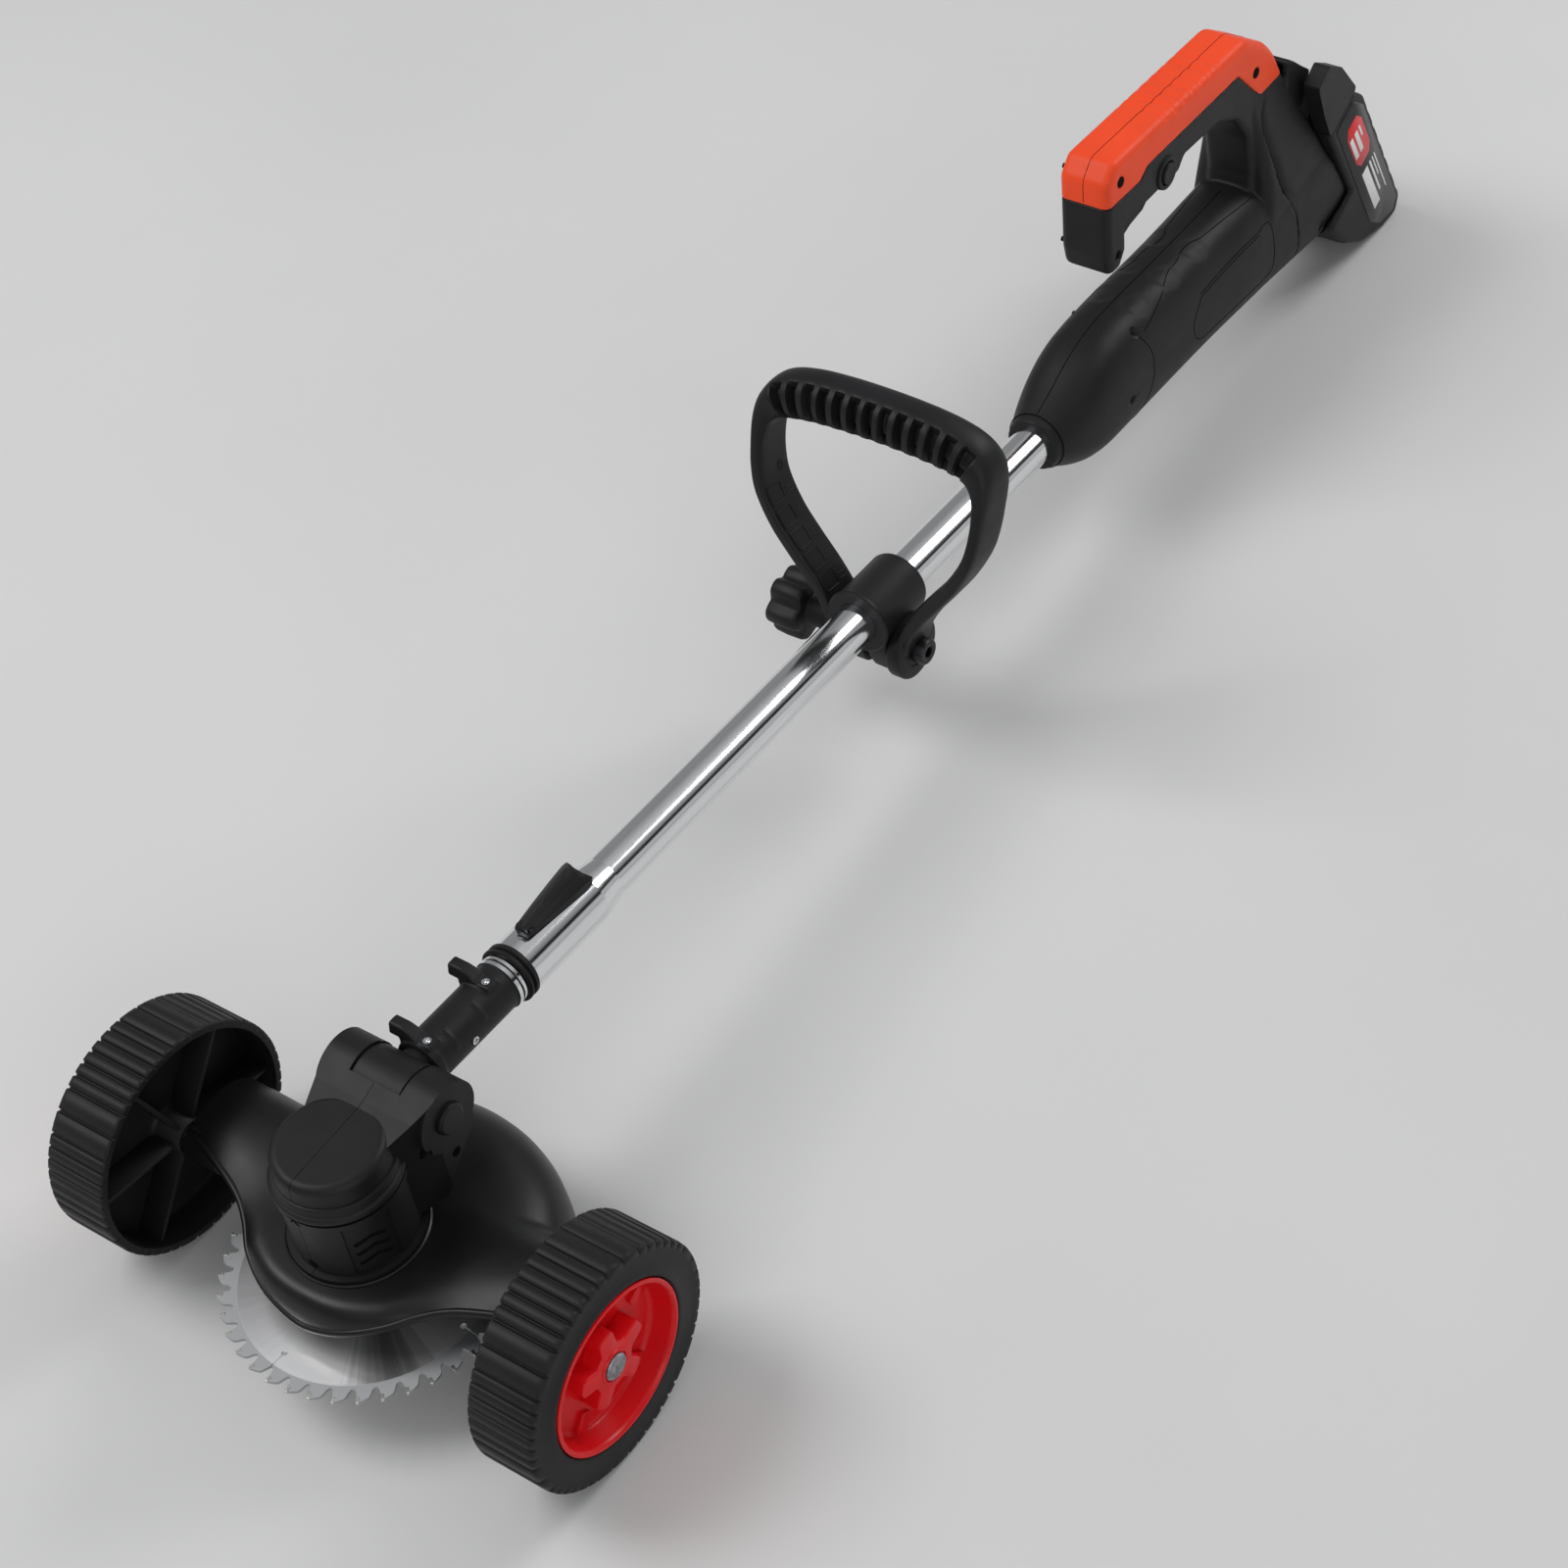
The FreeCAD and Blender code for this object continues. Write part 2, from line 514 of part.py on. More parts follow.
# ---------------------------------------------------------------- neck
def neck():
    drum = rod(19.2, (-SLOT_HALF + 0.4, PIVOT_Y, PIVOT_Z), X_AXIS, 2 * SLOT_HALF - 0.8)
    stub = on_tube(rod(10.95, (0, -95, 0), Y_AXIS, 34.5))
    knuckle = drum.fuse(stub).cut(rod(5.05, (-60, PIVOT_Y, PIVOT_Z), X_AXIS, 120))
    save(knuckle.cut(on_tube(rod(5.0, (0, -74, 0), Y_AXIS, 30))), "tilt_knuckle")

    shell = rod(NECK_R, (0, -75.4, 0), Y_AXIS, 68.6)
    collar = rod(NECK_R + 0.5, (0, -75.4, 0), Y_AXIS, 5).fuse(rod(NECK_R + 0.6, (0, -11, 0), Y_AXIS, 4))
    shell = shell.fuse(collar)
    for station in (-70, -23):
        lug = side_prism(((station - 5, 8), (station - 4.2, 15.5), (station + 4.2, 15.5),
                          (station + 5, 8)), 1.5, -3, 8)
        horn = side_prism(((station - 4.5, 12), (station - 3.5, 20.0), (station + 3.5, 20.0),
                           (station + 4.5, 12)), 1.5, -18.5, -2)
        tip = rod(30, (-18, station - 5, -9), Y_AXIS, 10)
        shell = fuse(shell, lug, horn.common(tip), box(-12, 0, station - 4.2, station + 4.2, 9, 16))
    for station in (-59, -37):
        bar = ring(NECK_R + 0.5, NECK_R - 0.5, (0, station - 1.2, 0), Y_AXIS, 2.4)
        shell = shell.fuse(bar.common(box(4, 20, -100, 0, 5, 20)))
    shell = shell.cut(rod(11.0, (0, -80, 0), Y_AXIS, 90))
    holes = neck_screw_places()
    for start, direction in holes:
        shell = shell.cut(rod(2.4, start, direction * -1, 12).fuse(rod(0.9, start, direction, 1.7)))
    left, right = halves(shell)
    save(on_tube(left), "neck_shell_left")
    save(on_tube(right), "neck_shell_right")
    screws = [screw(2.3, 1.6, 0.9, start, direction, 1.6) for start, direction in holes]
    save(on_tube(Part.makeCompound(screws)), "neck_screws")


def neck_screw_places():
    down = Z_AXIS * -1
    return [((3.6, -70, 13.6), down), ((3.6, -23, 13.6), down), ((12.9, -47.6, 0), X_AXIS * -1)]


# ---------------------------------------------------------------- telescopic tube
def tubes():
    inner = ring(INNER_R, 9.6, (0, INNER_START, 0), Y_AXIS, INNER_END - INNER_START)
    save(on_tube(inner), "inner_tube")
    profile = ((13.9, 2.5), (FLARE_R, 2.5), (FLARE_R, FLARE_END), (OUTER_R, FLARE_END + 16),
               (OUTER_R, TUBE_END), (BORE_R, TUBE_END), (BORE_R, FLARE_END + 6), (13.9, FLARE_END))
    points = [V(r, s, 0) for r, s in profile + (profile[0],)]
    outer = Part.Face(Part.makePolygon(points)).revolve(V(0, 0, 0), Y_AXIS, 360)
    window = box(-3.0, 3.0, 22, 34, 8, 20)
    save(on_tube(outer.cut(window)), "outer_tube")
    collar = ring(16.8, BORE_R, (0, -4.5, 0), Y_AXIS, 7.0)
    collar = collar.fuse(ring(13.85, BORE_R, (0, 2.0, 0), Y_AXIS, FLARE_END - 3))
    save(on_tube(collar.cut(window)), "lock_collar")


def lock_lever():
    side = ((LEVER_S - 2.6, 16.4), (LEVER_S - 2.6, 21.2), (54.5, 28.5), (62.5, 15.0))
    lever = side_prism(side, [2.2, 2.2, 1.0, 0.8], -8.6, 8.6)
    roof_plan = ((-8.6, 10), (-8.6, 24), (-2, 32), (2, 32), (8.6, 24), (8.6, 10))
    roof = Part.Face(outline(roof_plan, 0.8))
    roof.Placement = FreeCAD.Placement(V(0, 0, 0), FreeCAD.Rotation(X_AXIS, 90))
    roof = roof.extrude(V(0, -90, 0))
    roof.translate(V(0, 80, 0))
    lever = lever.common(roof)
    lever = lever.cut(rod(FLARE_R + 0.35, (0, 0, 0), Y_AXIS, 80))
    lever = lever.cut(box(-20, 20, 0, LEVER_S + 2.5, 0, 16.4))
    lever = lever.cut(box(-4.2, 4.2, 0, 40, 10, 22))
    axis = rod(1.5, (-20, LEVER_S, LEVER_H), X_AXIS, 40)
    lever = lever.cut(rod(1.5 + RUNNING_GAP, (-20, LEVER_S, LEVER_H), X_AXIS, 40))
    save(on_tube(lever), "lock_lever")
    save(on_tube(rod(1.5, (-8.4, LEVER_S, LEVER_H), X_AXIS, 16.8)), "lever_pin")
    seat = box(-3.9, 3.9, LEVER_S - 2.3, LEVER_S + 2.3, 14, LEVER_H + 2.2)
    seat = seat.cut(rod(FLARE_R, (0, 0, 0), Y_AXIS, 80)).cut(axis)
    save(on_tube(seat), "lever_seat")


def coiled_lead():
    lead = coil(9.4, 1.6, 9.0, 297, (0, INNER_END + 1.6, 0), Y_AXIS)
    save(on_tube(lead), "coiled_lead")


# ---------------------------------------------------------------- front handle
def loop_lean(shape):
    return shape.rotate(V(0, BOLT_S, BOLT_H), X_AXIS, -LOOP_LEAN)


def loop_outline(inner):
    """Half outline of the loop as (x, height) pairs, mirrored to both sides."""
    if inner:
        half = ((70, 109), (70, 78), (64, 58), (33, 13), (20, -6), (20, -30))
        radius = [7, 20, 16, 12, 4, 0.5]
    else:
        half = ((58, 138.5), (79, 122), (78.5, 78), (72, 54), (40, 6), (27, -24))
        radius = [14, 14, 16, 20, 12, 6]
    points = list(half) + [(-x, h) for x, h in reversed(half)]
    wire = outline(points, radius + radius[::-1])
    face = Part.Face(wire)
    face.Placement = FreeCAD.Placement(V(0, BOLT_S - LOOP_DEPTH / 2, 0), FreeCAD.Rotation(X_AXIS, 90))
    return face


def front_handle():
    outer = loop_outline(False).extrude(V(0, LOOP_DEPTH, 0))
    inner = loop_outline(True).extrude(V(0, LOOP_DEPTH, 0))
    outer = edges_round(outer, 3.5, lambda e: e.BoundBox.YLength < 0.01)
    loop = outer.cut(inner)
    y0 = BOLT_S - LOOP_DEPTH / 2
    loop = loop.cut(box(-17.3, 17.3, y0 - 1, y0 + 40, -60, 20))
    loop = loop.cut(box(-60, 60, y0 - 1, y0 + 40, -60, BOLT_H + 4))
    for side in (-1, 1):
        start = 17.3 if side > 0 else -27.0
        cheek = rod(19.5, (start, BOLT_S, BOLT_H), X_AXIS, 9.7)
        loop = loop.fuse(cheek)
    loop = loop.cut(rod(4.05, (-60, BOLT_S, BOLT_H), X_AXIS, 120))
    for x in (-47.0, 27.0):
        loop = loop.cut(rod(11.0, (x, BOLT_S, BOLT_H), X_AXIS, 20))
    for i in range(13):
        x = -60.6 + 10.1 * i
        slot = box(x - 2.7, x + 2.7, y0 - 1, y0 + 9, 104, 129)
        loop = loop.cut(edges_round(slot, 2.2, lambda e: e.BoundBox.YLength > 9))
    save(on_tube(loop_lean(loop)), "front_handle")


def handle_clamp():
    y0 = CLAMP_S - CLAMP_LEN / 2
    saddle = rod(CLAMP_R, (0, y0, 0), Y_AXIS, CLAMP_LEN)
    saddle = edges_round(saddle, 2.0, lambda e: e.BoundBox.YLength < 0.01)
    ears = rod(18.5, (-17.0, BOLT_S, BOLT_H), X_AXIS, 34.0)
    block = box(-17.0, 17.0, BOLT_S - 16, BOLT_S + 16, BOLT_H, -5)
    clamp = fuse(saddle, ears, block)
    clamp = clamp.cut(rod(OUTER_R + 0.05, (0, 200, 0), Y_AXIS, 300))
    clamp = clamp.cut(box(-2.0, 2.0, 200, 500, -60, 0))
    clamp = clamp.cut(rod(4.05, (-60, BOLT_S, BOLT_H), X_AXIS, 120))
    for x in (-57.0, 17.0):
        clamp = clamp.cut(rod(20.3, (x, BOLT_S, BOLT_H), X_AXIS, 40))
    save(on_tube(clamp), "handle_clamp")


def handle_hardware():
    shank = rod(4.0, (-57.0, BOLT_S, BOLT_H), X_AXIS, 84.2)
    head = rod(8.0, (27.2, BOLT_S, BOLT_H), X_AXIS, 7.5)
    head = head.cut(hex_prism(6, (30.5, BOLT_S, BOLT_H), X_AXIS, 8))
    save(on_tube(shank.fuse(head)), "clamp_bolt")
    knob = rod(21.0, (-68.0, BOLT_S, BOLT_H), X_AXIS, 22.0)
    knob = edges_round(knob, 3.0, lambda e: e.BoundBox.XLength < 0.01)
    for i in range(8):
        a = math.radians(45 * i)
        flute = rod(6.0, (-80, BOLT_S + 25.5 * math.cos(a), BOLT_H + 25.5 * math.sin(a)), X_AXIS, 60)
        knob = knob.cut(flute)
    hub = rod(10.0, (-46.0, BOLT_S, BOLT_H), X_AXIS, 18.8)
    knob = knob.fuse(hub).cut(rod(4.05, (-57.1, BOLT_S, BOLT_H), X_AXIS, 40))
    save(on_tube(knob), "clamp_knob")


# ---------------------------------------------------------------- rear handle
BODY_SECTIONS = ((507, 17.0, 17.0, 0, 2.0), (514, 19.0, 19.2, 0, 2.1), (522, 22.2, 23.2, -0.5, 2.2),
                 (530, 24.7, 27.0, -0.5, 2.3), (539, 26.7, 31.0, 0.3, 2.4), (549, 28.0, 34.5, 1.8, 2.5),
                 (560, 28.7, 37.0, 3.4, 2.6), (574, 29.0, 38.8, 5.0, 2.6), (600, 29.0, 40.0, 6.0, 2.6),
                 (680, 29.0, 40.5, 6.5, 2.6), (750, 30.0, 42.5, 7.0, 2.7), (815, 32.0, 45.0, 7.5, 2.8),
                 (900, 32.5, 46.0, 7.5, 2.8))
LOOP_SIDE = ((575, 86), (572, 100), (572, 150), (582, BAR_TOP), (738, BAR_TOP), (762, 146), (790, 118),
             (812, 98), (812, 20), (742, 20), (746, 58), (742, 88), (727, 109), (704, 120), (663, 120.5),
             (656, 113), (628, 113), (593.5, 112), (593.5, 96), (586, 86))
LOOP_ROUND = [4, 6, 8, 8, 14, 8, 4, 3, 3, 3, 12, 12, 12, 8, 2, 3, 2, 0.5, 4, 3]
COVER_SIDE = ((560, 134), (609, 133.5), (618, 139.5), (727, 141), (755, 112.5), (778, 113.5), (800, 125),
              (760, 180), (560, 180))


def body_loft(grow, start=0):
    wires = [section(s, a + grow, b + grow, m, p) for s, a, b, m, p in BODY_SECTIONS[start:]]
    return Part.makeLoft(wires, True, True)


def loop_solid(inset):
    if inset:
        return inset_prism(LOOP_SIDE, LOOP_ROUND, -BAR_HALF + inset, BAR_HALF - inset, inset)
    solid = side_prism(LOOP_SIDE, LOOP_ROUND, -BAR_HALF, BAR_HALF)
    return edges_round(solid, 5.0, lambda e: e.BoundBox.XLength < 0.01 and e.BoundBox.ZMin > 80)


def pack_half_space(offset):
    """Everything beyond the slanted battery joint."""
    space = box(-200, 200, offset, 400, -300, 300)
    return placed(space, FreeCAD.Placement(V(0, PACK_S, 0), FreeCAD.Rotation(X_AXIS, PACK_SLANT)))


def in_pack_frame(shape):
    return placed(shape, FreeCAD.Placement(V(0, PACK_S, 0), FreeCAD.Rotation(X_AXIS, PACK_SLANT)))


def rear_shell():
    hollow = body_loft(-BODY_WALL, 2)
    cap = side_prism(((786, 112), (790, 120), (816, 99), (806, 80), (790, 76)), 2.0, -19, 19)
    solid = fuse(body_loft(0).cut(pack_half_space(0)), loop_solid(0), cap)
    shell = solid.cut(hollow).cut(loop_solid(BODY_WALL))
    bulkhead_near = hollow.common(box(-60, 60, 560, 564, -80, 90))
    joint_plate = hollow.common(pack_half_space(-4.2)).cut(pack_half_space(0))
    back_plate = hollow.common(pack_half_space(-24)).cut(pack_half_space(-21))
    board_rib = hollow.common(box(-60, 60, 640, 643, -60, 4))
    shell = shell.cut(pack_half_space(0).cut(cap))
    shell = fuse(shell, bulkhead_near, joint_plate, back_plate, board_rib)
    shell = shell.cut(rod(OUTER_R + 0.05, (0, 400, 0), Y_AXIS, 172.3))
    shell = shell.cut(rod(7.0, (0, 500, 0), Y_AXIS, 72.4))
    rail = fuse(box(-12, 12, -5, 1, -200, 60.5), box(-18.3, 18.3, -9.3, -4.2, -200, 60.5))
    shell = shell.cut(in_pack_frame(rail))
    shell = shell.cut(in_pack_frame(box(-6, 6, -30, -15, -20, 10)))
    shell = shell.cut(box(-12.4, 12.4, 594.6, 630.9, 100, 119))
    return shell.cut(rod(7.3, (-40, BUTTON_S, BUTTON_H), X_AXIS, 80))


def screw_towers(outside):
    """Towers joining the two halves, kept inside the outer skin."""
    towers = [rod(4.6, (-29, s, h), X_AXIS, 58) for s, h, x in REAR_SCREWS]
    return [tower.common(outside) for tower in towers]


def rear_housing():
    outside = fuse(body_loft(-0.4), loop_solid(0.4))
    shell = fuse(rear_shell(), *screw_towers(outside))
    for s, h, x in REAR_SCREWS:
        shell = shell.cut(rod(1.6, (x - 36, s, h), X_AXIS, 60))
        shell = shell.cut(rod(3.1, (x, s, h), X_AXIS, 40))
    cover_zone = side_prism(COVER_SIDE, 1.0, -60, 60)
    seam = ((788, 140), (788, 119), (770, 100), (762, 52), (782, 11), (787, -16), (790, -70), (990, -70),
            (990, 140))
    collar_zone = side_prism(seam, [1, 1, 8, 20, 20, 10, 1, 1, 1], -60, 60)
    covered = shell.cut(cover_zone)
    main = covered.cut(collar_zone).cut(collar_zone.translated(V(0, -0.3, 0)))
    pieces = {"grip_cover": shell.common(cover_zone), "battery_collar": covered.common(collar_zone),
              "rear_housing": main}
    for name, shape in pieces.items():
        left, right = halves(shape)
        save(on_tube(left), name + "_left")
        save(on_tube(right), name + "_right")


def rear_screws():
    screws = [screw(2.9, 2.2, 1.6, (x, s, h), X_AXIS * -1, 34) for s, h, x in REAR_SCREWS]
    save(on_tube(Part.makeCompound(screws)), "rear_housing_screws")


def trigger_group():
    side = ((597.5, 101), (596.8, 118), (600, 126), (627, 128), (630, 122), (629, 112), (620, 106), (606, 104))
    trigger = side_prism(side, 1.5, -11.5, 11.5)
    trigger = trigger.cut(rod(1.53, (-30, 624, 123), X_AXIS, 60))
    save(on_tube(trigger), "trigger")
    pin = rod(1.5, (-BAR_HALF + BODY_WALL, 624, 123), X_AXIS, 2 * (BAR_HALF - BODY_WALL))
    save(on_tube(pin), "trigger_pin")
    spring = coil(3.0, 0.5, 1.43, 7.15, (0, 606, 127.3), Z_AXIS)
    save(on_tube(spring), "trigger_spring")
    switch = box(-9, 9, 600, 626, 135, 150)
    feet = box(-BAR_HALF + BODY_WALL, BAR_HALF - BODY_WALL, 611, 615, 138, 142)
    save(on_tube(switch.fuse(feet)), "switch_body")
    button = rod(7.0, (-BAR_HALF + 3, BUTTON_S, BUTTON_H), X_AXIS, 2 * BAR_HALF + 0.2)
    button = edges_round(button, 1.0, lambda e: e.BoundBox.XLength < 0.01)
    button = button.cut(ring(8, 5.4, (-8, BUTTON_S, BUTTON_H), X_AXIS, 16))
    save(on_tube(button), "lock_off_button")


def electrics():
    board = box(-20, 20, 600, 680, 4, 5.8)
    parts = [board]
    for y in (612, 630, 648):
        parts.append(rod(4.5, (-8, y, 5.8), Z_AXIS, 14))
    parts.append(box(4, 16, 615, 665, 5.8, 17))
    save(on_tube(fuse(*parts)), "controller_board")
    block = box(-15, 15, -21.0, -10.0, -24, 10)
    for x in (-9, -3, 3, 9):
        block = block.cut(box(x - 0.6, x + 0.6, -13, -9, -20, 5))
    save(on_pack(block), "battery_terminal_block")


# ---------------------------------------------------------------- battery
PACK_SIDE = ((0.4, 77), (25, 86), (43.5, 46), (43.5, -79), (34, -87.6), (15.6, -79.6), (-8, -60), (-23, -37),
             (-29, -12), (-29, -6), (0.4, -6))
PACK_ROUND = [2, 5, 5, 6, 5, 8, 12, 8, 3, 1, 0.4]


def battery():
    case = side_prism(PACK_SIDE, PACK_ROUND, -PACK_HALF, PACK_HALF)
    case = edges_round(case, 3.0, lambda e: e.BoundBox.XLength < 0.01 and e.BoundBox.YMin > 0.6)
    body = placed(body_loft(1.0), FreeCAD.Placement(V(0, PACK_S, 0),
                                                    FreeCAD.Rotation(X_AXIS, PACK_SLANT)).inverse())
    case = case.cut(body.common(box(-60, 60, -80, 0.4, -90, 90)))
    cavity = box(-PACK_HALF + 2.5, PACK_HALF - 2.5, 3.0, 41.0, -76, 43)
    rails = fuse(box(-11.7, 11.7, -5, 0.6, -60, 60), box(-18, 18, -9, -4.5, -60, 60))
    case = case.fuse(rails).cut(cavity)
    for side in (-1, 1):
        x0 = 22 if side > 0 else -37
        case = case.cut(box(x0, x0 + 15, -10, 45, 62, 120))
    save(on_pack(case), "battery_case")
    cells = []
    for row in range(5):
        for layer in (12.6, 31.4):
            cells.append(rod(9.0, (-32.5, layer, -62 + 19 * row), X_AXIS, 65))
    save(on_pack(Part.makeCompound(cells)), "battery_cells")


def battery_latches():
    side = ((0.6, 62.05), (2, 84), (6, 110), (22.8, 111.5), (32.5, 96), (39, 62.05))
    lug = side_prism(side, 3.0, 24.5, PACK_HALF)
    save(on_pack(lug), "battery_latch_right")
    save(on_pack(mirror_x(lug)), "battery_latch_left")


def battery_labels():
    side = ((7, 58), (31, 58), (39, 42), (39, -74), (31, -80), (14, -70), (6, -55))
    label = side_prism(side, 3.0, PACK_HALF, PACK_HALF + 0.4)
    save(on_pack(Part.makeCompound([label, mirror_x(label)])), "battery_labels")


# ---------------------------------------------------------------- build everything
save(blade(), "blade")
blade_hardware()
motor()
motor_housing()
housing_screws()
tilt_joint()
guard()
guard_screws()
wheels()
neck()
tubes()
lock_lever()
coiled_lead()
front_handle()
handle_clamp()
handle_hardware()
rear_housing()
rear_screws()
trigger_group()
electrics()
battery()
battery_latches()
battery_labels()
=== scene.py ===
import json
import math

import bmesh
import bpy
from mathutils import Matrix, Vector
from mathutils.bvhtree import BVHTree


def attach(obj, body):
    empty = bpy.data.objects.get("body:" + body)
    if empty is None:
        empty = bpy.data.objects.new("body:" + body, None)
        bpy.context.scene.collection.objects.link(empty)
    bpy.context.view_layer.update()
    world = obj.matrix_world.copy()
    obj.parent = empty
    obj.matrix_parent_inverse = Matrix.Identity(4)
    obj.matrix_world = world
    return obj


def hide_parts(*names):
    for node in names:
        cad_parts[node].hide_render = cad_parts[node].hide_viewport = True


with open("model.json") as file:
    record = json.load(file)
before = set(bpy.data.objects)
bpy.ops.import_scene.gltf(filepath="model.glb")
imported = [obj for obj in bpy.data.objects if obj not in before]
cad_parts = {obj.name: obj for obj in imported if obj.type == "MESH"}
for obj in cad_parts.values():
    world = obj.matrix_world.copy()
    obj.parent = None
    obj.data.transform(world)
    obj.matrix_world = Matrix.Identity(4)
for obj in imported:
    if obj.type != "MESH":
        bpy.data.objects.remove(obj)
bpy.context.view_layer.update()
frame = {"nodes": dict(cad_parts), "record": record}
NODES = frame["nodes"]


# ---------------------------------------------------------------- frames of the object
TUBE_MOUTH = Vector((0, 0.13907, 0.12864))
TUBE_TURN = Matrix.Rotation(math.radians(-4.23), 4, "X")
TUBE = Matrix.Translation(TUBE_MOUTH) @ TUBE_TURN
PACK = TUBE @ Matrix.Translation((0, 0.844, 0)) @ Matrix.Rotation(math.radians(28.7), 4, "X")
MOTOR_Y = -0.004


# ---------------------------------------------------------------- materials
def new_material(name):
    material = bpy.data.materials.new(name)
    material.use_nodes = True
    tree = material.node_tree
    shader = tree.nodes["Principled BSDF"]
    return material, tree, shader


def add_node(tree, kind, **values):
    node = tree.nodes.new(kind)
    for key, value in values.items():
        if hasattr(node, key):
            setattr(node, key, value)
        else:
            node.inputs[key.replace("_", " ")].default_value = value
    return node


def noise_at(tree, scale, detail=3.0, roughness=0.5, stretch=None):
    coords = add_node(tree, "ShaderNodeTexCoord")
    node = add_node(tree, "ShaderNodeTexNoise", Scale=scale, Detail=detail, Roughness=roughness)
    if stretch:
        mapping = add_node(tree, "ShaderNodeMapping")
        mapping.inputs["Scale"].default_value = stretch
        tree.links.new(coords.outputs["Object"], mapping.inputs["Vector"])
        tree.links.new(mapping.outputs["Vector"], node.inputs["Vector"])
    else:
        tree.links.new(coords.outputs["Object"], node.inputs["Vector"])
    return node.outputs["Fac"]


def ramp(tree, source, low, high, dark, light):
    node = add_node(tree, "ShaderNodeValToRGB")
    node.color_ramp.elements[0].position = low
    node.color_ramp.elements[0].color = (*dark, 1)
    node.color_ramp.elements[1].position = high
    node.color_ramp.elements[1].color = (*light, 1)
    tree.links.new(source, node.inputs["Fac"])
    return node.outputs["Color"]


def spread(tree, source, low, high):
    node = add_node(tree, "ShaderNodeMapRange")
    node.inputs["To Min"].default_value = low
    node.inputs["To Max"].default_value = high
    tree.links.new(source, node.inputs["Value"])
    return node.outputs["Result"]


def bump(tree, shader, source, strength, distance, under=None):
    node = add_node(tree, "ShaderNodeBump", Strength=strength, Distance=distance)
    tree.links.new(source, node.inputs["Height"])
    if under:
        tree.links.new(under, node.inputs["Normal"])
    tree.links.new(node.outputs["Normal"], shader.inputs["Normal"])
    return node.outputs["Normal"]


def scaled(color, factor):
    return tuple(min(1.0, c * factor) for c in color)


def plastic(name, color, rough, grain=2600, depth=0.00006, vary=0.25, coat=0.0, shine=0.5):
    """Moulded plastic: clouded colour, uneven sheen and a fine spark-eroded grain."""
    material, tree, shader = new_material(name)
    shader.inputs["Specular IOR Level"].default_value = shine
    cloud = noise_at(tree, 28, 4)
    tree.links.new(ramp(tree, cloud, 0.3, 0.7, scaled(color, 1 - vary), scaled(color, 1 + vary)),
                   shader.inputs["Base Color"])
    smudge = noise_at(tree, 60, 5, 0.6)
    tree.links.new(spread(tree, smudge, rough - 0.07, rough + 0.07), shader.inputs["Roughness"])
    fine = bump(tree, shader, noise_at(tree, grain, 2), 0.5, depth)
    bump(tree, shader, noise_at(tree, 90, 2), 0.15, 0.0004, fine)
    if coat:
        shader.inputs["Coat Weight"].default_value = coat
        shader.inputs["Coat Roughness"].default_value = 0.12
    return material


def metal(name, color, rough, stretch, scratch=0.00004, vary=0.12):
    """Bare metal with drawn or ground marks along one direction."""
    material, tree, shader = new_material(name)
    shader.inputs["Metallic"].default_value = 1.0
    marks = noise_at(tree, 1, 6, 0.65, stretch)
    tree.links.new(ramp(tree, marks, 0.3, 0.7, scaled(color, 1 - vary), scaled(color, 1 + vary)),
                   shader.inputs["Base Color"])
    tree.links.new(spread(tree, marks, rough * 0.75, rough * 1.25), shader.inputs["Roughness"])
    bump(tree, shader, marks, 0.35, scratch)
    return material


# Painted reflection on the disc: grey level by angle in degrees round the shaft, bright sectors standing in for
# highlights of the lamps.
PAINTED_REFLECTION = ((-175, 0.42), (-75, 0.42), (-45, 0.55), (-22, 0.8), (-5, 1.0), (28, 1.0), (40, 0.5), (50, 0.22),
          (60, 0.4), (72, 0.95), (110, 0.6), (165, 0.42))


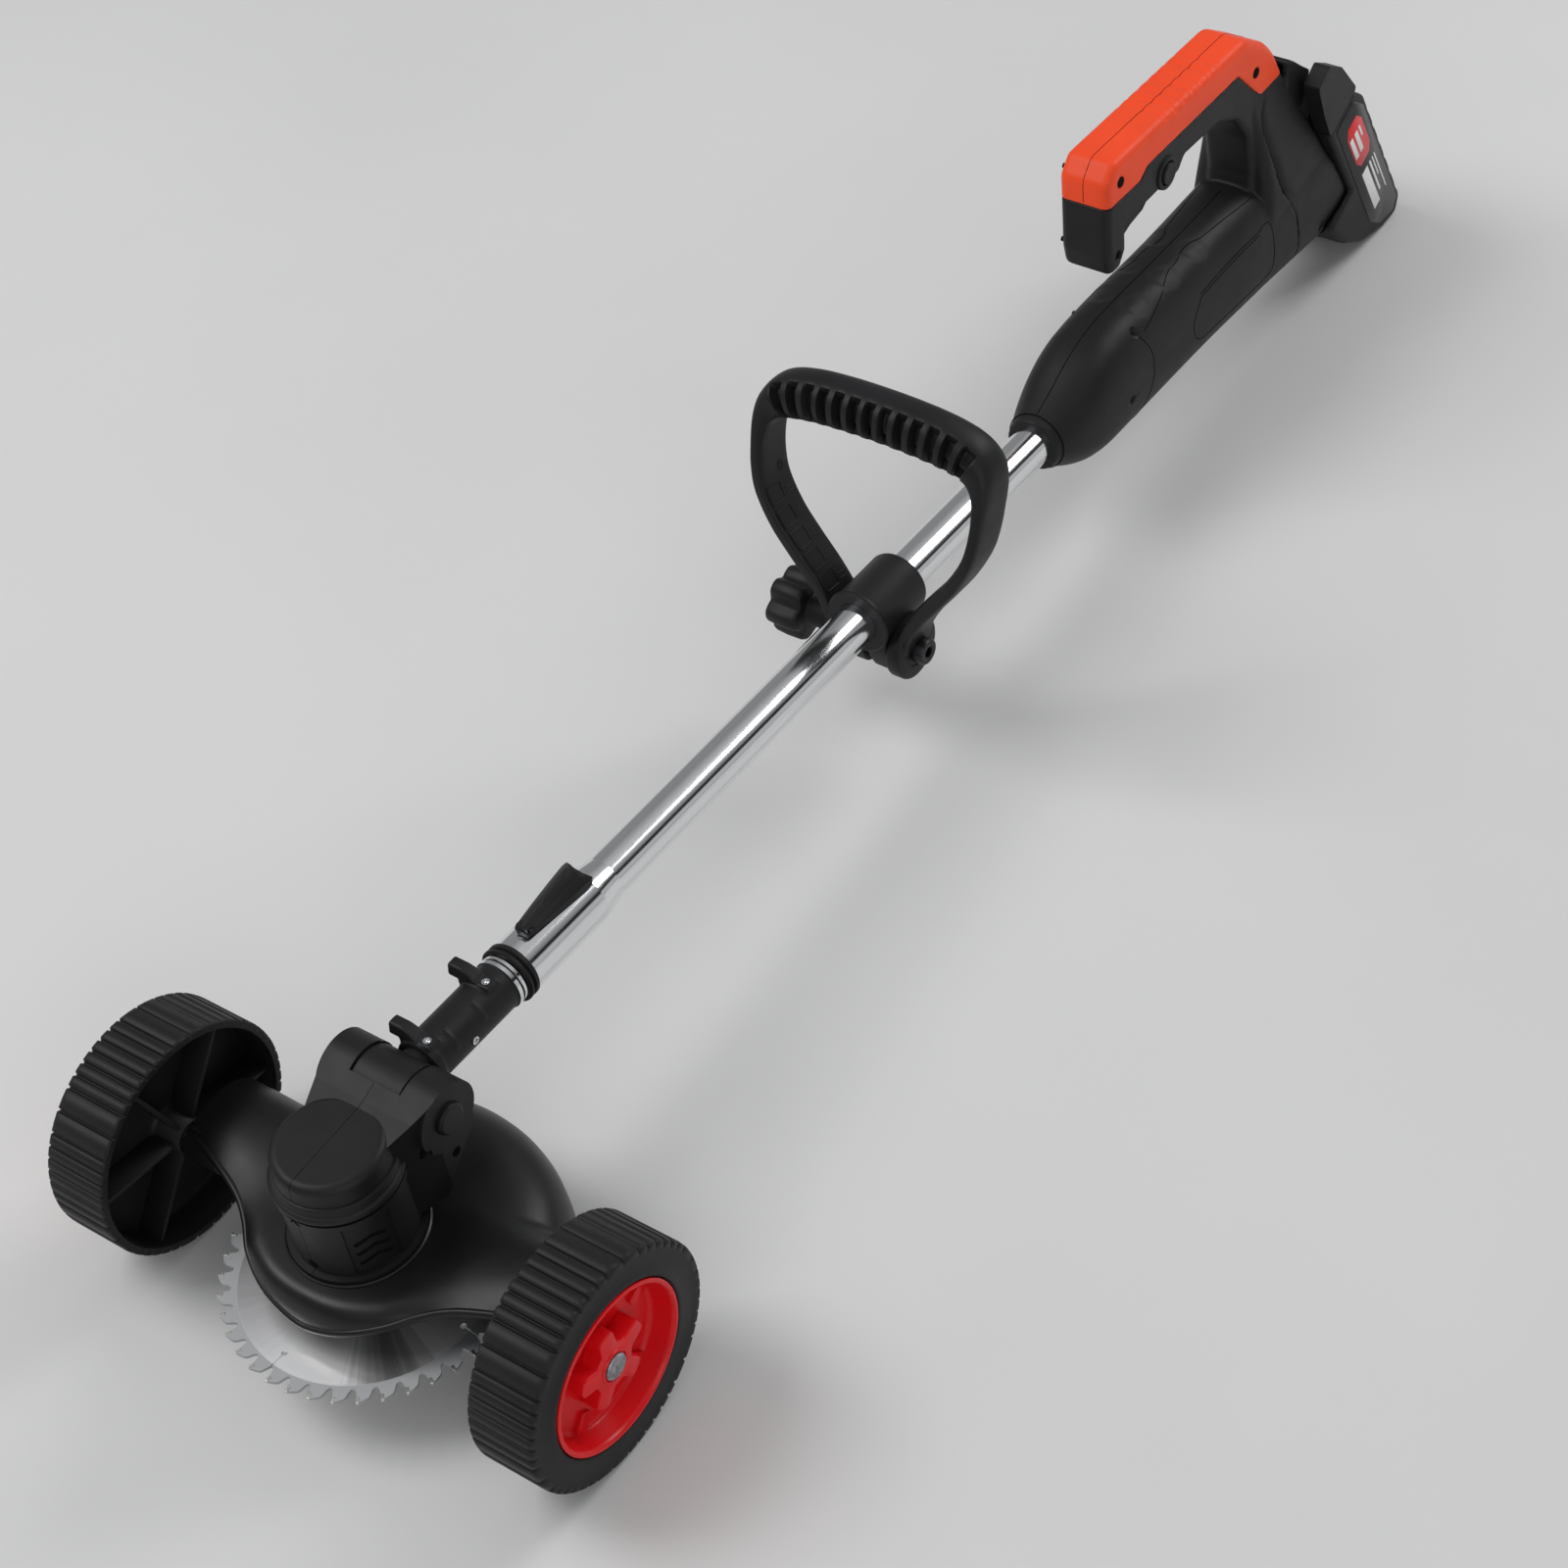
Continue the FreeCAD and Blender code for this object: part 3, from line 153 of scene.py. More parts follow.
def blade_metal():
    """Ground centre with a painted reflection of bright and dark sectors by angle round the shaft, dull sprayed rim,
    with circular grinding marks.
    """
    material, tree, shader = new_material("saw_disc")
    shader.inputs["Metallic"].default_value = 0.72
    coords = add_node(tree, "ShaderNodeTexCoord")
    shift = add_node(tree, "ShaderNodeMapping")
    shift.inputs["Location"].default_value = (0, -MOTOR_Y, 0)
    tree.links.new(coords.outputs["Object"], shift.inputs["Vector"])
    split = add_node(tree, "ShaderNodeSeparateXYZ")
    tree.links.new(shift.outputs["Vector"], split.inputs["Vector"])
    flat = add_node(tree, "ShaderNodeCombineXYZ")
    tree.links.new(split.outputs["X"], flat.inputs["X"])
    tree.links.new(split.outputs["Y"], flat.inputs["Y"])
    radius = add_node(tree, "ShaderNodeVectorMath", operation="LENGTH")
    tree.links.new(flat.outputs["Vector"], radius.inputs[0])
    rim = add_node(tree, "ShaderNodeMapRange")
    rim.inputs["From Min"].default_value = 0.0685
    rim.inputs["From Max"].default_value = 0.0692
    tree.links.new(radius.outputs["Value"], rim.inputs["Value"])
    rings = add_node(tree, "ShaderNodeTexNoise", noise_dimensions="1D", Scale=2400.0, Detail=4.0)
    tree.links.new(radius.outputs["Value"], rings.inputs["W"])
    back = add_node(tree, "ShaderNodeMath", operation="MULTIPLY")
    back.inputs[1].default_value = -1.0
    tree.links.new(split.outputs["Y"], back.inputs[0])
    angle = add_node(tree, "ShaderNodeMath", operation="ARCTAN2")
    tree.links.new(split.outputs["X"], angle.inputs[0])
    tree.links.new(back.outputs["Value"], angle.inputs[1])
    reflection_streaks = add_node(tree, "ShaderNodeTexNoise", noise_dimensions="1D", Scale=14.0, Detail=6.0, Roughness=0.7)
    tree.links.new(angle.outputs["Value"], reflection_streaks.inputs["W"])
    wobble = add_node(tree, "ShaderNodeMath", operation="MULTIPLY_ADD")
    wobble.inputs[1].default_value = 0.35
    tree.links.new(reflection_streaks.outputs["Fac"], wobble.inputs[0])
    tree.links.new(angle.outputs["Value"], wobble.inputs[2])
    turn = add_node(tree, "ShaderNodeMapRange")
    turn.inputs["From Min"].default_value = -math.pi
    turn.inputs["From Max"].default_value = math.pi
    tree.links.new(wobble.outputs["Value"], turn.inputs["Value"])
    # Painted highlight and shade: this angle ramp sets the base colour of the disc centre.
    shade = add_node(tree, "ShaderNodeValToRGB")
    for degrees, grey in PAINTED_REFLECTION:
        spot = shade.color_ramp.elements.new((degrees + 190) / 360)
        spot.color = (grey, grey, grey * 1.01, 1)
    tree.links.new(turn.outputs["Result"], shade.inputs["Fac"])
    tone = add_node(tree, "ShaderNodeMix", data_type="RGBA")
    tree.links.new(rim.outputs["Result"], tone.inputs[0])
    tree.links.new(shade.outputs["Color"], tone.inputs[6])
    tone.inputs[7].default_value = (0.40, 0.41, 0.42, 1)
    tree.links.new(tone.outputs[2], shader.inputs["Base Color"])
    tree.links.new(spread(tree, rim.outputs["Result"], 0.24, 0.5), shader.inputs["Roughness"])
    bump(tree, shader, rings.outputs["Fac"], 0.25, 0.00005)
    return material


M = {
    "black": plastic("black_moulded", (0.0085, 0.0085, 0.0095), 0.5, shine=0.28),
    # Near-black used both for dark parting lines and as painted shade in vents, gaps, holes and recesses.
    "seam_and_shade": plastic("seam_shadow", (0.002, 0.002, 0.002), 0.8, shine=0.1),
    "orange_seam": plastic("orange_shadow", (0.18, 0.012, 0.004), 0.7, shine=0.1),
    "label_red": plastic("label_tag", (0.70, 0.012, 0.018), 0.3, vary=0.06, grain=900, depth=0.00001),
    "label_white": plastic("label_ink", (0.80, 0.80, 0.79), 0.4, vary=0.03, grain=900, depth=0.00001),
    "guard": plastic("guard_satin", (0.0055, 0.0055, 0.006), 0.38, grain=1500, depth=0.00003,
                     shine=0.34),
    "tyre": plastic("tread_plastic", (0.011, 0.011, 0.012), 0.52, grain=3000, depth=0.00008, shine=0.26),
    "red": plastic("red_gloss", (0.70, 0.006, 0.010), 0.3, grain=1200, depth=0.00002, vary=0.08,
                   shine=0.3),
    "orange": plastic("orange_cover", (0.93, 0.075, 0.018), 0.46, grain=3200, depth=0.00005, vary=0.05,
                      shine=0.25),
    "tube": metal("plated_tube", (0.80, 0.81, 0.82), 0.13, (900, 14, 900), 0.00001, 0.04),
    "blade": blade_metal(),
    "worn_steel": metal("worn_bolt_face", (0.36, 0.37, 0.39), 0.5, (420, 420, 420), vary=0.6),
    "dark_steel": metal("blackened_steel", (0.045, 0.045, 0.048), 0.42, (500, 500, 500), vary=0.3),
    "tip": metal("cutting_tip", (0.72, 0.71, 0.68), 0.25, (900, 900, 900)),
    "steel": metal("zinc_steel", (0.72, 0.73, 0.75), 0.24, (700, 700, 700)),
    "motor": metal("plain_steel", (0.40, 0.40, 0.42), 0.4, (60, 60, 900)),
    "magnet": plastic("ferrite", (0.05, 0.05, 0.055), 0.6),
    "copper": metal("rotor_stack", (0.62, 0.30, 0.14), 0.35, (60, 60, 1600)),
    "lead": plastic("lead_jacket", (0.02, 0.02, 0.02), 0.5),
    "board": plastic("board_green", (0.02, 0.13, 0.06), 0.35, vary=0.15),
    "cell": plastic("cell_wrap", (0.04, 0.18, 0.32), 0.3, vary=0.1),
    "bushing": plastic("nylon", (0.6, 0.6, 0.55), 0.4, vary=0.05),
    "label": plastic("label_black", (0.02, 0.02, 0.022), 0.25, vary=0.1),
}
# The rear housing screws take the near-black seam and shade colour as painted shade in their dark holes; the motor
# housing screws take the dark steel.
NODE_MATERIAL = {"rear_housing_screws": "seam_and_shade", "motor_housing_screws": "dark_steel"}
SLOT_MATERIAL = {
    "black_plastic": "black", "guard_plastic": "guard", "tyre_plastic": "tyre", "red_plastic": "red",
    "orange_plastic": "orange", "tube_chrome": "tube", "blade_steel": "blade", "fastener_steel": "steel",
    "motor_steel": "motor", "magnet": "magnet", "copper_stack": "copper", "lead_rubber": "lead",
    "board_green": "board", "cell_wrap": "cell", "label": "label", "bushing": "bushing",
}


def dress_cad_nodes():
    for part in frame["record"]["subparts"]:
        thing = NODES[part["node"]]
        material = M[NODE_MATERIAL.get(part["node"], SLOT_MATERIAL[part["material_slot"]])]
        if not thing.material_slots:
            thing.data.materials.append(material)
        for entry in thing.material_slots:
            entry.material = material


dress_cad_nodes()


# ---------------------------------------------------------------- mesh helpers
def add_object(name, mesh):
    thing = bpy.data.objects.new(name, mesh)
    bpy.context.collection.objects.link(thing)
    return thing


def mesh_object(name, points, faces, sharp=38):
    mesh = bpy.data.meshes.new(name)
    mesh.from_pydata([tuple(p) for p in points], [], faces)
    mesh.validate()
    form = bmesh.new()
    form.from_mesh(mesh)
    bmesh.ops.remove_doubles(form, verts=form.verts, dist=1e-6)
    bmesh.ops.recalc_face_normals(form, faces=form.faces)
    form.to_mesh(mesh)
    form.free()
    mesh.shade_smooth()
    mesh.set_sharp_from_angle(angle=math.radians(sharp))
    return add_object(name, mesh)


def loops_object(name, loops, closed_ring=True, caps=False, wrap=False, sharp=38):
    """Skin through a list of equally long point loops."""
    count = len(loops[0])
    points = [p for loop in loops for p in loop]
    faces = []
    pairs = len(loops) if wrap else len(loops) - 1
    for i in range(pairs):
        a = i * count
        b = ((i + 1) % len(loops)) * count
        for j in range(count if closed_ring else count - 1):
            k = (j + 1) % count
            faces.append((a + j, a + k, b + k, b + j))
    if caps:
        faces.append(tuple(reversed(range(count))))
        faces.append(tuple(range((len(loops) - 1) * count, len(loops) * count)))
    return mesh_object(name, points, faces, sharp)


def lathe(name, profile, axis="X", segments=96, wrap=False, sharp=38):
    """Profile of (along, radius) pairs in metres, turned about an axis through the origin."""
    loops = []
    for along, radius in profile:
        loop = []
        for i in range(segments):
            a = 2 * math.pi * i / segments
            u, v = radius * math.cos(a), radius * math.sin(a)
            loop.append({"X": (along, u, v), "Y": (u, along, v), "Z": (u, v, along)}[axis])
        loops.append(loop)
    return loops_object(name, loops, wrap=wrap, sharp=sharp)


def prism(name, outline_points, low, high, axis="X", bevel=0.0, segments=3):
    """Closed 2-D outline pushed along an axis, with rounded rims."""
    def lift(p, at):
        return {"X": (at, p[0], p[1]), "Y": (p[0], at, p[1]), "Z": (p[0], p[1], at)}[axis]
    loops = [[lift(p, low) for p in outline_points], [lift(p, high) for p in outline_points]]
    thing = loops_object(name, loops, caps=True, sharp=30)
    if bevel:
        soften(thing, bevel, segments)
    return thing


def soften(thing, width, segments=3, angle=35):
    tool = thing.modifiers.new("edge_radius", "BEVEL")
    tool.width = width
    tool.segments = segments
    tool.limit_method = "ANGLE"
    tool.angle_limit = math.radians(angle)
    tool.harden_normals = True
    tool.use_clamp_overlap = True


def rounded(points, radius, steps=5):
    """Corner-rounded copy of a closed 2-D polygon."""
    result = []
    count = len(points)
    for i, here in enumerate(points):
        r = radius[i] if isinstance(radius, (list, tuple)) else radius
        here = Vector(here)
        before = (Vector(points[i - 1]) - here).normalized()
        after = (Vector(points[(i + 1) % count]) - here).normalized()
        half = max(0.02, before.angle(after) / 2)
        reach = r / math.tan(half)
        start, end = here + before * reach, here + after * reach
        for k in range(steps + 1):
            t = k / steps
            result.append(tuple((1 - t) ** 2 * start + 2 * t * (1 - t) * here + t * t * end))
    return result


def joined(name, things):
    """One object from several, modifiers applied, in the row frame."""
    depsgraph = bpy.context.evaluated_depsgraph_get()
    form = bmesh.new()
    for thing in things:
        copy = bpy.data.meshes.new_from_object(thing.evaluated_get(depsgraph))
        copy.transform(thing.matrix_world)
        form.from_mesh(copy)
    bmesh.ops.recalc_face_normals(form, faces=form.faces)
    mesh = bpy.data.meshes.new(name)
    form.to_mesh(mesh)
    form.free()
    for thing in things:
        bpy.data.objects.remove(thing)
    mesh.shade_smooth()
    mesh.set_sharp_from_angle(angle=math.radians(38))
    return add_object(name, mesh)


def moved(thing, matrix):
    thing.matrix_world = matrix @ thing.matrix_world
    bpy.context.view_layer.update()
    return thing


def settle(thing, body, material, *nodes, slot=None):
    """Material, body and replaced CAD nodes for one finished piece; the slot argument is not used."""
    thing.data.materials.clear()
    thing.data.materials.append(M[material])
    for face in thing.data.polygons:
        face.material_index = 0
    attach(thing, body)
    if nodes:
        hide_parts(*nodes)
    return thing


def smoothstep(value, low, high):
    t = min(1.0, max(0.0, (value - low) / (high - low)))
    return t * t * (3 - 2 * t)


def smooth_max(a, b, k):
    h = max(k - abs(a - b), 0.0) / k
    return max(a, b) + h * h * k / 4


def catmull(points, per_span):
    """Evenly stepped smooth curve through 2-D or 3-D points."""
    result = []
    for i in range(len(points) - 1):
        p1, p2 = Vector(points[i]), Vector(points[i + 1])
        p0 = Vector(points[i - 1]) if i else 2 * p1 - p2
        p3 = Vector(points[i + 2]) if i + 2 < len(points) else 2 * p2 - p1
        for k in range(per_span):
            t = k / per_span
            result.append(0.5 * ((2 * p1) + (p2 - p0) * t + (2 * p0 - 5 * p1 + 4 * p2 - p3) * t * t
                                 + (3 * p1 - p0 - 3 * p2 + p3) * t ** 3))
    result.append(Vector(points[-1]))
    return result


def tube_along(name, path, radius, sides=12, closed=False):
    """Round bead through a list of points."""
    curve = bpy.data.curves.new(name, "CURVE")
    curve.dimensions = "3D"
    curve.bevel_depth = radius
    curve.bevel_resolution = sides // 4
    curve.use_fill_caps = True
    line = curve.splines.new("POLY")
    line.points.add(len(path) - 1)
    for point, place in zip(line.points, path):
        point.co = (*place, 1)
    line.use_cyclic_u = closed
    return add_object(name, curve)


def fill_ends(thing):
    form = bmesh.new()
    form.from_mesh(thing.data)
    bmesh.ops.holes_fill(form, edges=form.edges, sides=0)
    bmesh.ops.recalc_face_normals(form, faces=form.faces)
    form.to_mesh(thing.data)
    form.free()


def cut_with(thing, tool):
    cutter = thing.modifiers.new("cut", "BOOLEAN")
    cutter.operation = "DIFFERENCE"
    cutter.solver = "EXACT"
    cutter.object = tool
    depsgraph = bpy.context.evaluated_depsgraph_get()
    result = bpy.data.meshes.new_from_object(thing.evaluated_get(depsgraph))
    thing.modifiers.clear()
    thing.data = result
    bpy.data.objects.remove(tool)
    return thing


def melted(name, things, voxel, rounds, keep):
    """Closed shapes grown into one skin with the soft edges of a moulding."""
    whole = joined(name, things)
    remesh = whole.modifiers.new("voxels", "REMESH")
    remesh.mode = "VOXEL"
    remesh.voxel_size = voxel * 1.0
    relax = whole.modifiers.new("relax", "SMOOTH")
    relax.factor = 0.5
    relax.iterations = rounds
    fewer = whole.modifiers.new("fewer", "DECIMATE")
    fewer.ratio = keep
    return joined(name, [whole])


def cad_copy(node):
    return add_object(node + "_copy", NODES[node].data.copy())


# ---------------------------------------------------------------- guard
GUARD_FRONT = ((0, -57), (24, -53.5), (44, -43), (58, -29.5), (70, -20.5), (84, -14), (102, -7.5), (119.6, -2))


def guard_top(x, y):
    """Height of the moulding above the floor, in mm, before the front edge rolls down."""
    r = math.hypot(x, y + 4)
    u = min(1.0, r / 106)
    dome = 35 + 43.5 * (1 - u ** 4.6) ** (1 / 2.7)
    crest = 78.3 + 4.6 * smoothstep(abs(x), 46, 100)
    if y > 19:
        wing = 35 + (crest - 35) * max(0.0, 1 - ((y - 19) / 34) ** 2.3) ** (1 / 2.3)
    else:
        wing = crest - 2.6 * ((19 - y) / 23) ** 2
    return min(smooth_max(dome, wing, 7), crest + 0.3)


def guard_lip(x):
    return 58.5 + 18.5 * (1 - math.exp(-(abs(x) / 47) ** 1.5))


def guard_outline():
    """Plan outline from the front middle round the right side to the rear middle, in mm."""
    front = [tuple(p) for p in catmull([(-24, -53.5)] + list(GUARD_FRONT), 12)[12:]]
    side = [(119.6, 55 * t / 16 - 2) for t in range(1, 17)]
    rear_wall = [(119.6 - 30 * t / 10, 53) for t in range(1, 11)]
    start = math.atan2(57, 89.4)
    arc = []
    for k in range(1, 41):
        a = start + (math.pi / 2 - start) * k / 40
        arc.append((106 * math.cos(a), -4 + 106 * math.sin(a)))
    return front, side + rear_wall + arc


def blade_guard():
    front, back = guard_outline()
    edge = front + back
    edge = edge + [(-x, y) for x, y in reversed(edge[1:-1])]
    front_line = front + [(-x, y) for x, y in front]
    steps = [0, 0.012, 0.03, 0.055, 0.09, 0.13, 0.18, 0.24, 0.31, 0.39, 0.48, 0.58, 0.7, 0.85, 1.0]
    outer, inner = [], []
    for w in steps:
        top_loop, low_loop = [], []
        for px, py in edge:
            away = Vector((px, py + 4)).normalized() * 33
            x = px + (away.x - px) * w
            y = py + (away.y - 4 - py) * w
            d = min(math.hypot(x - fx, y - fy) for fx, fy in front_line)
            top = guard_top(x, y)
            lip = guard_lip(x)
            reach = 11 + 9 * smoothstep(abs(x), 40, 90)
            roll = math.sqrt(max(0.0, 1 - (1 - min(1.0, d / reach)) ** 2.4))
            z = lip + (top - lip) * roll if top > lip else top
            top_loop.append((x / 1000, y / 1000, z / 1000))
            low_loop.append((x * 0.985 / 1000, ((y + 4) * 0.975 - 4) / 1000, (z - 3) / 1000))
        outer.append(top_loop)
        inner.append(low_loop)
    skirt = [(x, y, max(0.035, z - 0.0042)) for x, y, z in outer[0]]
    skin = loops_object("guard_skin", list(reversed(inner)) + [skirt] + outer, sharp=50)
    rim = [(x / 1000, (y + 0.6) / 1000, (guard_lip(x) - 0.4) / 1000) for x, y in
           [(-x, y) for x, y in reversed(front)] + front[1:]]
    lip_roll = tube_along("guard_lip", rim, 0.0021)
    seat = lathe("guard_seat", [(0.0772, 0.0385), (0.0793, 0.0381), (0.0799, 0.0372), (0.0785, 0.0368),
                                (0.0745, 0.0368), (0.0745, 0.020), (0.0785, 0.020), (0.0785, 0.0366)], "Z")
    moved(seat, Matrix.Translation((0, MOTOR_Y, 0)))
    parts = [skin, lip_roll, seat]
    for side in (-1, 1):
        boss = lathe("boss", [(0.0965, 0.0041), (0.0965, 0.0100), (0.0970, 0.0105), (0.1205, 0.0105),
                              (0.1210, 0.0100), (0.1210, 0.0041)], "X", 48)
        moved(boss, Matrix.Translation((0, 0, 0.0675)) @ Matrix.Scale(side, 4, (1, 0, 0)))
        plate = prism("plate", [(-0.004, 0.058), (0.043, 0.058), (0.043, 0.066), (0.034, 0.078), (-0.004, 0.078)],
                      side * 0.096 - 0.0018, side * 0.096 + 0.0018, "X", 0.0006)
        rib = prism("rib", [(-0.0012, 0.068), (0.0012, 0.068), (0.0012, 0.0795), (-0.0012, 0.0795)],
                    side * 0.098, side * 0.119, "X")
        parts += [boss, plate, rib]
    return settle(joined("guard_moulding", parts), "head", "guard", "blade_guard", slot="guard_plastic")


def cap_band():
    """Stepped ring under the lid of the motor housing."""
    band = lathe("cap_band", [(0.1262, 0.0318), (0.1264, 0.0342), (0.1270, 0.0347), (0.1296, 0.0347),
                              (0.1304, 0.0341), (0.1309, 0.0331), (0.1316, 0.0328), (0.1352, 0.0326),
                              (0.1359, 0.0321), (0.1363, 0.0300), (0.1262, 0.0300)], "Z", 128, wrap=True)
    moved(band, Matrix.Translation((0, MOTOR_Y, 0)))
    settle(joined("motor_cap_band", [band]), "head", "black", slot="black_plastic")


blade_guard()
cap_band()


# ---------------------------------------------------------------- wheels
WHEEL_IN = 0.1215
WHEEL_OUT = 0.161


def tread_radius(turn):
    """Outer radius in mm at an angle in degrees: wide lands and narrow ribs between grooves."""
    at = turn % 60.0
    widths = [11.0, 11.0] + [38.0 / 6] * 6
    for width in widths:
        if at < width:
            edge = min(at, width - at)
            return 65.3 + 2.2 * smoothstep(edge, 0.25, 1.05)
        at -= width
    return 65.3


def wheel_carrier(side):
    turns = []
    for repeat in range(6):
        at = 60.0 * repeat
        for width in [11.0, 11.0] + [38.0 / 6] * 6:
            turns += [at + o for o in (0.0, 0.3, 0.65, 1.05, width / 2, width - 1.05, width - 0.65, width - 0.3)]
            at += width
    depth = WHEEL_OUT - WHEEL_IN

    def loop(x, radius=None, drop=0.0):
        points = []
        for turn in turns:
            r = (radius if radius else tread_radius(turn) - drop) / 1000
            a = math.radians(turn)
            points.append((x, r * math.cos(a), r * math.sin(a)))
        return points

    stations = [loop(0.0, None, 1.0), loop(0.0006, None, 0.2), loop(0.0016), loop(depth - 0.0032),
                loop(depth - 0.0012, None, 0.25), loop(depth - 0.0004, None, 0.8),
                loop(depth, None, 1.5), loop(depth, 62.6),
                loop(depth, 52.3), loop(depth + 0.0003, 51.9), loop(depth + 0.0003, 49.0),
                loop(depth - 0.0004, 48.1), loop(depth - 0.0160, 48.1), loop(depth - 0.0160, 6.2),
                loop(0.0022, 6.2), loop(0.0020, 6.6), loop(0.0020, 9.6), loop(0.0024, 10.0),
                loop(0.0180, 10.4), loop(0.0194, 11.6), loop(0.0205, 14.0), loop(0.0210, 49.5),
                loop(0.0210, 60.0), loop(0.0200, 61.6), loop(0.0180, 61.9), loop(0.0006, 62.5),
                loop(0.0, 62.9)]
    body = loops_object("carrier", stations, wrap=True, sharp=42)
    parts = [body]
    for i in range(6):
        rib = prism("rib", [(-0.0012, 0.0095), (0.0012, 0.0095), (0.0010, 0.0622), (-0.0010, 0.0622)],
                    0.0042, 0.0212, "X", 0.0004)
        parts.append(moved(rib, Matrix.Rotation(math.radians(60 * i + 20), 4, "X")))
    place = Matrix.Translation((WHEEL_IN, 0, 0.0675))
    for part in parts:
        moved(part, Matrix.Scale(side, 4, (1, 0, 0)) @ place)
    name = "right" if side > 0 else "left"
    return settle(joined("tread_wheel_" + name, parts), name + "_wheel", "tyre", "wheel_" + name,
                  slot="tyre_plastic")


def star_points(tip, valley):
    points, radii = [], []
    for i in range(5):
        base = math.radians(72 * i + 90)
        for turn, r, round_r in ((-12, tip, 0.0035), (12, tip, 0.0035), (24, valley * 1.12, 0.003),
                                 (48, valley * 1.12, 0.003)):
            a = base + math.radians(turn)
            points.append((r * math.cos(a), r * math.sin(a)))
            radii.append(round_r)
    return rounded(points, radii, 5)


def hub_cover(side):
    face = WHEEL_OUT - WHEEL_IN
    dish = lathe("dish", [(face - 0.0158, 0.0476), (face + 0.0003, 0.0476), (face + 0.0008, 0.0471),
                          (face + 0.0008, 0.0457), (face + 0.0002, 0.0448), (face - 0.0020, 0.0443),
                          (face - 0.0110, 0.0428), (face - 0.0130, 0.0418), (face - 0.0138, 0.0400),
                          (face - 0.0138, 0.0065), (face - 0.0158, 0.0065)], "X", 128, wrap=True)
    star = prism("star", star_points(0.0250, 0.0130), face - 0.0140, face - 0.0024, "X", 0.0011, 4)
    collar = lathe("collar", [(face - 0.0139, 0.0120), (face - 0.0022, 0.0100), (face - 0.0016, 0.0095),
                              (face - 0.0016, 0.0086), (face - 0.0022, 0.0080), (face - 0.0079, 0.0105),
                              (face - 0.0079, 0.0065)], "X", 72)
    parts = [dish, star, collar]
    for i in range(5):
        web = prism("web", rounded([(-0.0030, 0.0300), (0.0030, 0.0300), (0.0042, 0.0432), (-0.0042, 0.0432)],
                                   0.0005, 2), face - 0.0140, face - 0.0112, "X", 0.0006)
        parts.append(moved(web, Matrix.Rotation(math.radians(72 * i), 4, "X")))
    for part in parts:
        moved(part, Matrix.Scale(side, 4, (1, 0, 0)) @ Matrix.Translation((WHEEL_IN, 0, 0.0675)))
    name = "right" if side > 0 else "left"
    return settle(joined("hub_cover_" + name, parts), name + "_wheel", "red", "hub_disc_" + name,
                  slot="red_plastic")


def bolt_caps():
    """Worn round faces of the axle bolts in the middle of the hub stars."""
    caps = []
    for side in (-1, 1):
        cap = lathe("cap", [(-0.0079, 0.0002), (-0.0079, 0.0064), (-0.0014, 0.0074), (-0.0009, 0.0071),
                            (-0.0005, 0.0062), (-0.0003, 0.0002)], "X", 48, wrap=True)
        place = Matrix.Scale(side, 4, (1, 0, 0)) @ Matrix.Translation((WHEEL_OUT, 0, 0.0675))
        caps.append(moved(cap, place))
    settle(joined("axle_bolt_faces", caps), "head", "worn_steel", slot="fastener_steel")


# ---------------------------------------------------------------- saw disc
BLADE_RIM = 82.5
GULLET = 73.6
BLADE_TURN = -2.7
TOOTH = ((0.0, 82.5), (-0.12, 80.2), (0.05, 77.4), (0.5, 75.3), (1.25, 74.3), (2.3, 74.6), (3.1, 76.2),
         (3.6, 78.2), (4.3, 79.9), (6.2, 81.2), (8.6, 82.3))


def disc_outline():
    """Toothed edge of the disc, with a keyhole slot at every tenth gullet, in metres."""
    points = []
    for i in range(40):
        for turn, radius in TOOTH:
            a = math.radians(BLADE_TURN - 9.0 * i - turn)
            if turn == 2.3 and i % 10 == 0:
                radial = Vector((math.cos(a), math.sin(a)))
                side = Vector((radial.y, -radial.x))
                points.append(radial * (radius / 1000) - side * 0.00035)
                for k in range(17):
                    t = math.radians(192 + (528 - 192) * k / 16)
                    points.append(radial * (0.0648 - 0.0017 * math.cos(t)) + side * 0.0017 * math.sin(t))
                points.append(radial * (radius / 1000) + side * 0.00035)
            else:
                points.append(Vector((radius * math.cos(a), radius * math.sin(a))) / 1000)
    return points


def saw_disc():
    shape = bpy.data.curves.new("saw_disc", "CURVE")
    shape.dimensions = "2D"
    shape.fill_mode = "BOTH"
    shape.extrude = 0.0009
    for points in (disc_outline(), [Vector((0.0082 * math.cos(math.radians(6 * k)),
                                            0.0082 * math.sin(math.radians(6 * k)))) for k in range(60)]):
        line = shape.splines.new("POLY")
        line.points.add(len(points) - 1)
        for point, place in zip(line.points, points):
            point.co = (place.x, place.y, 0, 1)
        line.use_cyclic_u = True
    disc = joined("saw_disc", [add_object("disc_plan", shape)])
    moved(disc, Matrix.Translation((0, MOTOR_Y, 0.043)))
    tips = []
    for i in range(40):
        tip = prism("tip", [(-0.0001, 0.08246), (-0.0016, 0.0820), (-0.0019, 0.0791), (-0.0001, 0.0789)],
                    -0.0012, 0.0012, "Z", 0.00012, 1)
        tips.append(moved(tip, Matrix.Rotation(math.radians(9.0 * i - 90 + BLADE_TURN), 4, "Z")))
    edge = joined("cutting_tips", tips)
    moved(edge, Matrix.Translation((0, MOTOR_Y, 0.043)))
    settle(disc, "blade_shaft", "blade", "blade", slot="blade_steel")
    settle(edge, "blade_shaft", "tip", slot="blade_steel")


for side in (-1, 1):
    wheel_carrier(side)
    hub_cover(side)
bolt_caps()
saw_disc()


